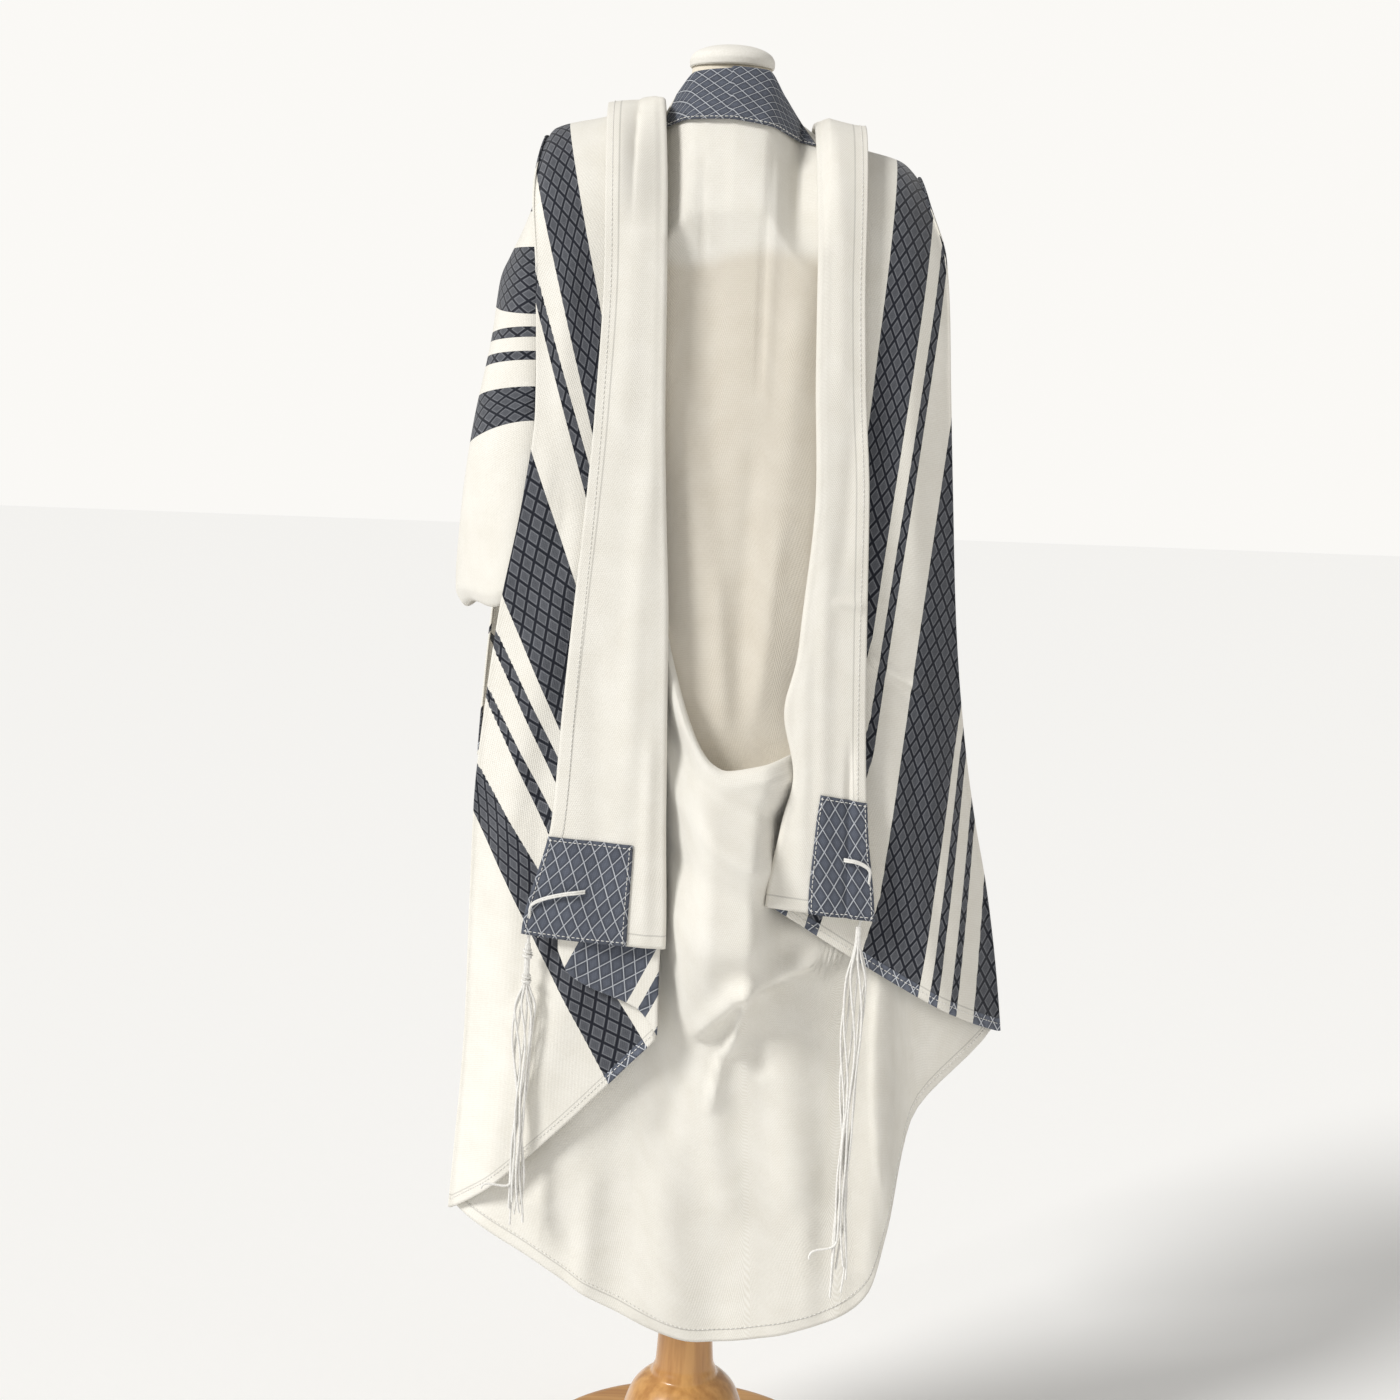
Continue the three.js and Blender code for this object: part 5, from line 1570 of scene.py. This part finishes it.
@dataclass(frozen=True)
class Tassel:
    """One corner's tzitzit: knots under the corner, then eight strands."""

    name: str
    node: str
    top: tuple[float, float]
    low: tuple[float, float]
    lift: float
    face: Face
    phase: float
    hole: tuple[float, float]
    edge: tuple[float, float]
    knots: int = 2

    def build(self, tools: NodeTool, finish: bpy.types.Material) -> bpy.types.Object:
        """Make the tassel.

        Args:
            tools: the Geometry Nodes tools.
            finish: the cord's material.

        Returns:
            The piece.
        """
        y = float(DrapedForm.depth(np.array(self.top[0]), np.array(self.top[1]), self.lift, self.face))
        paths = [self._strand(k, y) for k in range(STRANDS)] + [self._knot(k, y) for k in range(self.knots)]
        paths += [self._loop(y, across) for across in (-LOOP_HALF_GAP, LOOP_HALF_GAP)]
        obj = tools.run(tools.cords, self.name, paths, finish, Radius=CORD_RADIUS,
                        Sides=CORD_SIDES, Step=CORD_STEP)
        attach(obj, "root")
        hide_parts(self.node)
        log.info("%s: %d cords", self.name, len(paths))
        return obj

    def _strand(self, k: int, y: float) -> Array:
        """One strand, from the corner through the knots to its own length.

        Args:
            k: the strand's number.
            y: depth of the tassel.

        Returns:
            Points in millimetres.
        """
        t = np.linspace(0, 1, 80)
        turn = k * 2 * math.pi / STRANDS + self.phase
        length = 1.0 - 0.10 * ((k * 5 + 3) % STRANDS) / STRANDS
        z = self.top[1] + (self.low[1] - self.top[1]) * t * length
        start = 0.13 if self.knots > 1 else 0.03
        loose = smooth((t - start) / 0.12)
        spread = 1.9 + (6.5 + 2.0 * math.sin(3.1 * k)) * loose * (1 - 0.45 * smooth((t - 0.3) / 0.6))
        sway = (2.6 * np.sin(9 * t + turn) + 1.6 * np.sin(17 * t + 2 * turn)) * loose
        x = mix(self.top[0], self.low[0], t) + spread * np.cos(turn + 1.3 * t) + sway
        deep = y + spread * 0.5 * np.sin(turn + 1.3 * t)
        if k == STRAY_STRAND:
            stray = smooth((t - 0.86) / 0.14)
            x, z = x - 30.0 * stray, z + 34.0 * stray
        return np.stack([x, deep, z], axis=-1)

    def _knot(self, k: int, y: float) -> Array:
        """One knot: the cord wound round the strands.

        Args:
            k: the knot's number, from the top.
            y: depth of the tassel.

        Returns:
            Points in millimetres.
        """
        t = np.linspace(0, 1, 60)
        middle = self.top[1] - KNOT_BELOW - KNOT_PITCH * k
        angle = t * 2 * math.pi * 3.2
        radius = 5.0 - 1.2 * np.abs(2 * t - 1)
        x = mix(self.top[0], self.low[0], 0.04 + 0.08 * k) + radius * np.cos(angle)
        z = middle + 9 * (0.5 - t) + 1.5 * np.sin(angle * 0.5)
        return np.stack([x, y + radius * np.sin(angle), z], axis=-1)

    def _loop(self, y: float, across: float) -> Array:
        """The cord's way from its place on the patch over the corner's edge to the first knot.

        Args:
            y: depth of the tassel.
            across: how far this cord lies beside the loop's middle.

        Returns:
            Points in millimetres.
        """
        edge = (self.top[0] + self.edge[0], self.top[1] + self.edge[1])
        stops = Table("t x z lift", (0, self.hole[0], self.hole[1], 42.0),
                      (0.15, mix(self.hole[0], edge[0], 0.2), mix(self.hole[1], edge[1], 0.15) + 2, 46.5),
                      (0.6, edge[0], edge[1], 45.0),
                      (0.72, self.top[0] + self.edge[0] * 0.9, edge[1] - 14, 40.0),
                      (1.0, self.top[0], self.top[1] - 3, self.lift))
        t = np.linspace(0, 1, 40)
        x, z = stops.read("x", t), stops.read("z", t)
        deep = DrapedForm.depth(x, z, stops.read("lift", t), self.face)
        deep[-8:] = mix(deep[-8:], y, np.linspace(0.1, 1, 8))
        return np.stack([x + 0.4 * across * t, deep, z + across * (1 - 0.4 * t)], axis=-1)


TASSELS = (
    Tassel("left_back_tzitzit", "left_back_tassel", (-184, 694), (-192, 376), 34, Face.BACK, 0.2,
           hole=(-124, 757), edge=(2, 42)),
    Tassel("right_back_tzitzit", "right_back_tassel", (167, 728), (162, 310), 34, Face.BACK, 1.1,
           hole=(148, 801), edge=(9, 60), knots=0),
    Tassel("left_front_tzitzit", "left_front_tassel", (-160, 796), (-163, 470), 34, Face.FRONT, 2.0,
           hole=(-120, 856), edge=(-6, 48)),
    Tassel("right_front_tzitzit", "right_front_tassel", (168, 774), (166, 446), 34, Face.FRONT, 2.9,
           hole=(130, 840), edge=(4, 48)),
)


# ------------------------------------------------------------------ stitching
STITCH_SPACING, STITCH_LENGTH, STITCH_RADIUS = 0.0052, 0.0032, 0.00042   # metres
STITCH_LIFT = 0.35             # over the cloth, in millimetres


@dataclass
class Stitching:
    """White stitches along the edges of patches, bands and hems."""

    paths: list[Array] = field(default_factory=list)

    def follow(self, sheet: Sheet, rows: slice | int, cols: slice | int) -> None:
        """Add one line of a sheet's grid, just above the cloth.

        Args:
            sheet: the cloth that is sewn.
            rows: rows of the line.
            cols: columns of the line.
        """
        above = sheet.points + sheet.normals() * STITCH_LIFT
        self.paths.append(above[rows, cols])

    def build(self, tools: NodeTool, finish: bpy.types.Material) -> bpy.types.Object:
        """Make every stitch as one piece.

        Args:
            tools: the Geometry Nodes tools.
            finish: the thread's material.

        Returns:
            The piece.
        """
        obj = tools.run(tools.stitches, "stitches", self.paths, finish, Spacing=STITCH_SPACING,
                        Length=STITCH_LENGTH, Radius=STITCH_RADIUS)
        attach(obj, "root")
        log.info("stitches: %d lines", len(self.paths))
        return obj


# ------------------------------------------------------------------ studio
class Studio:
    """Camera, pale floor and soft light."""

    distance = 2.4
    height = 1.32
    lens = 55.3
    pitch = math.radians(9.1)
    roll = math.radians(2.09)

    def camera(self) -> None:
        """Camera behind the wearer, a little above the middle and rolled slightly."""
        forward = Vector((0, math.cos(self.pitch), -math.sin(self.pitch)))
        up = Vector((0, math.sin(self.pitch), math.cos(self.pitch)))
        right = Vector((1, 0, 0))
        across = right * math.cos(self.roll) + up * math.sin(self.roll)
        above = up * math.cos(self.roll) - right * math.sin(self.roll)
        data = bpy.data.cameras.new("camera")
        data.lens = self.lens
        data.sensor_width = 36.0
        data.clip_end = 50.0
        obj = bpy.data.objects.new("camera", data)
        turn = Matrix((across, above, -forward)).transposed().to_4x4()
        obj.matrix_world = Matrix.Translation((-0.010, -self.distance, self.height)) @ turn
        bpy.context.scene.collection.objects.link(obj)
        bpy.context.scene.camera = obj

    def floor(self) -> None:
        """Plain pale floor."""
        size = 14.0
        mesh = bpy.data.meshes.new("floor")
        corners = [(-size, -size, 0), (size, -size, 0), (size, size, 0), (-size, size, 0)]
        mesh.from_pydata(corners, [], [(0, 1, 2, 3)])
        mat = bpy.data.materials.new("pale_floor")
        mat.use_nodes = True
        shader = mat.node_tree.nodes["Principled BSDF"]
        shader.inputs["Base Color"].default_value = (0.9, 0.9, 0.895, 1)
        shader.inputs["Emission Color"].default_value = (1.0, 0.99, 0.975, 1)
        shader.inputs["Emission Strength"].default_value = 0.1
        shader.inputs["Roughness"].default_value = 0.9
        mesh.materials.append(mat)
        link("floor", mesh)

    def lights(self) -> None:
        """Large soft key from the left, weak fill from the right, pale surroundings."""
        sun = bpy.data.lights.new("key", "SUN")
        sun.energy, sun.angle, sun.color = 2.55, math.radians(16), (1.0, 0.99, 0.97)
        key = bpy.data.objects.new("key", sun)
        key.matrix_world = self._aimed((-2.6, -1.7, 2.5), (0, 0, 0))
        bpy.context.scene.collection.objects.link(key)
        self._area("fill", (2.4, -2.2, 1.3), (0, 0, 1.0), 2.0, 7.0, (1.0, 0.92, 0.82))
        world = bpy.data.worlds.new("studio")
        world.use_nodes = True
        tree = world.node_tree
        back = tree.nodes["Background"]
        back.inputs[0].default_value = (1.0, 0.985, 0.955, 1)
        seen = tree.nodes.new("ShaderNodeLightPath")
        power = ShaderGroups.sum_of(tree, "ADD", 0.4, ShaderGroups.sum_of(
            tree, "MULTIPLY", seen.outputs["Is Camera Ray"], 0.56))
        tree.links.new(power, back.inputs[1])
        bpy.context.scene.world = world
        bpy.context.scene.view_settings.view_transform = "Standard"

    @staticmethod
    def _area(name: str, place: tuple[float, float, float], aim: tuple[float, float, float],
              size: float, power: float, colour: Colour) -> None:
        """One square area light aimed at a point."""
        data = bpy.data.lights.new(name, "AREA")
        data.size, data.energy, data.color = size, power, colour
        obj = bpy.data.objects.new(name, data)
        obj.matrix_world = Studio._aimed(place, aim)
        bpy.context.scene.collection.objects.link(obj)

    @staticmethod
    def _aimed(place: tuple[float, float, float], aim: tuple[float, float, float]) -> Matrix:
        """Placement of a light that looks from one point at another."""
        look = Vector(aim) - Vector(place)
        return Matrix.Translation(place) @ look.to_track_quat("-Z", "Y").to_matrix().to_4x4()


# ------------------------------------------------------------------ folds of each side
LEFT_WING = {
    Face.BACK: (Crease((-150, 1100), (-220, 760), 22, 4, bow=8), Crease((-170, 900), (-230, 520), 20, -4),
                Crease((-120, 700), (-180, 520), 22, 4), Crease((-200, 620), (-230, 420), 16, 4),
                Crease((-160, 1420), (-175, 1180), 16, 4), Crease((-180, 1300), (-160, 1100), 12, -3)),
    Face.FRONT: (Crease((-120, 1300), (-180, 950), 20, 4, bow=8), Crease((-200, 1200), (-220, 900), 18, -4),
                 Crease((-150, 1100), (-150, 880), 16, 4)),
}
RIGHT_WING = {
    Face.BACK: (Crease((168, 1012), (226, 978), 6, 6, bow=3), Crease((222, 980), (264, 925), 6, 5, bow=-3),
                Crease((180, 1000), (250, 940), 12, -4), Crease((200, 1400), (215, 1100), 14, 4, bow=5),
                Crease((190, 900), (260, 660), 18, 5, bow=8), Crease((230, 880), (290, 640), 16, -5),
                Crease((150, 860), (200, 700), 14, 3)),
    Face.FRONT: (Crease((130, 1320), (200, 960), 20, 4, bow=-8), Crease((220, 1200), (240, 900), 18, -4),
                 Crease((170, 1100), (170, 860), 16, 4)),
}
LEFT_BAND = {
    Face.BACK: (Crease((-90, 1500), (-100, 1250), 14, 2.2), Crease((-70, 1200), (-80, 900), 12, 2.5, bow=4),
                Crease((-120, 1000), (-110, 760), 16, -2.5), Crease((-60, 900), (-60, 720), 8, 3)),
    Face.FRONT: (Crease((-100, 1450), (-100, 1200), 14, 2), Crease((-90, 1150), (-110, 860), 14, 2.5)),
}
RIGHT_BAND = {
    Face.BACK: (Crease((118, 1500), (124, 1300), 10, 2), Crease((130, 1070), (165, 1066), 5, 3),
                Crease((118, 1100), (128, 780), 10, 3.4, bow=4), Crease((150, 900), (152, 740), 4, -4),
                Crease((100, 1000), (104, 800), 10, 3), Crease((140, 1250), (136, 1120), 9, -2)),
    Face.FRONT: (Crease((120, 1450), (124, 1200), 14, 2), Crease((120, 1150), (130, 860), 14, 2.5)),
}


def main() -> None:
    """Build every sub-assembly in order and log the form's pieces, the tassels and the stitches."""
    logging.basicConfig(level=logging.INFO, format="%(name)s %(message)s")
    studio = Studio()
    studio.camera()
    studio.floor()
    studio.lights()
    finishes = Finishes()
    tools = NodeTool()
    form = DressForm(finishes)
    form.torso()
    form.cap()
    form.stand()
    tassels = {each.node: each.build(tools, finishes.cord) for each in TASSELS}
    sewing = Stitching()
    back = BackCloth()
    back.upper().build(finishes.plain)
    lower = back.lower()
    sewing.follow(lower, -5, slice(None))
    lower.build(finishes.plain)
    for side, wings, bands in ((Side.LEFT, LEFT_WING, LEFT_BAND), (Side.RIGHT, RIGHT_WING, RIGHT_BAND)):
        front_cloth(side).build(finishes.plain)
        folds = ShoulderFolds(side, wings, bands)
        wing = folds.wing()
        for row in (3, -4):
            sewing.follow(wing, row, slice(None))
        wing.build(finishes.striped)
        band = folds.band()
        band.trims = [tassels[f"{side.label}_{face.label}_tassel"] for face in Face]
        band.build(finishes.plain)
        sewing.follow(band, slice(None), -5)
        for face in Face:
            patch = folds.patch(face)
            for rows, cols in ((1, slice(1, -1)), (-2, slice(1, -1)), (slice(1, -1), 1), (slice(1, -1), -2)):
                sewing.follow(patch, rows, cols)
            patch.build(finishes.diamonds)
    ArmLoop(Side.LEFT, 1046, 30).cloth().build(finishes.striped)
    ArmLoop(Side.RIGHT, 1058, 26).cloth().build(finishes.striped)
    collar = neckband()
    sewing.follow(collar, -2, slice(1, -1))
    collar.build(finishes.neckband)
    sewing.build(tools, finishes.cord)
    hem_fold().build(finishes.reverse)


if __name__ == "__main__":
    main()
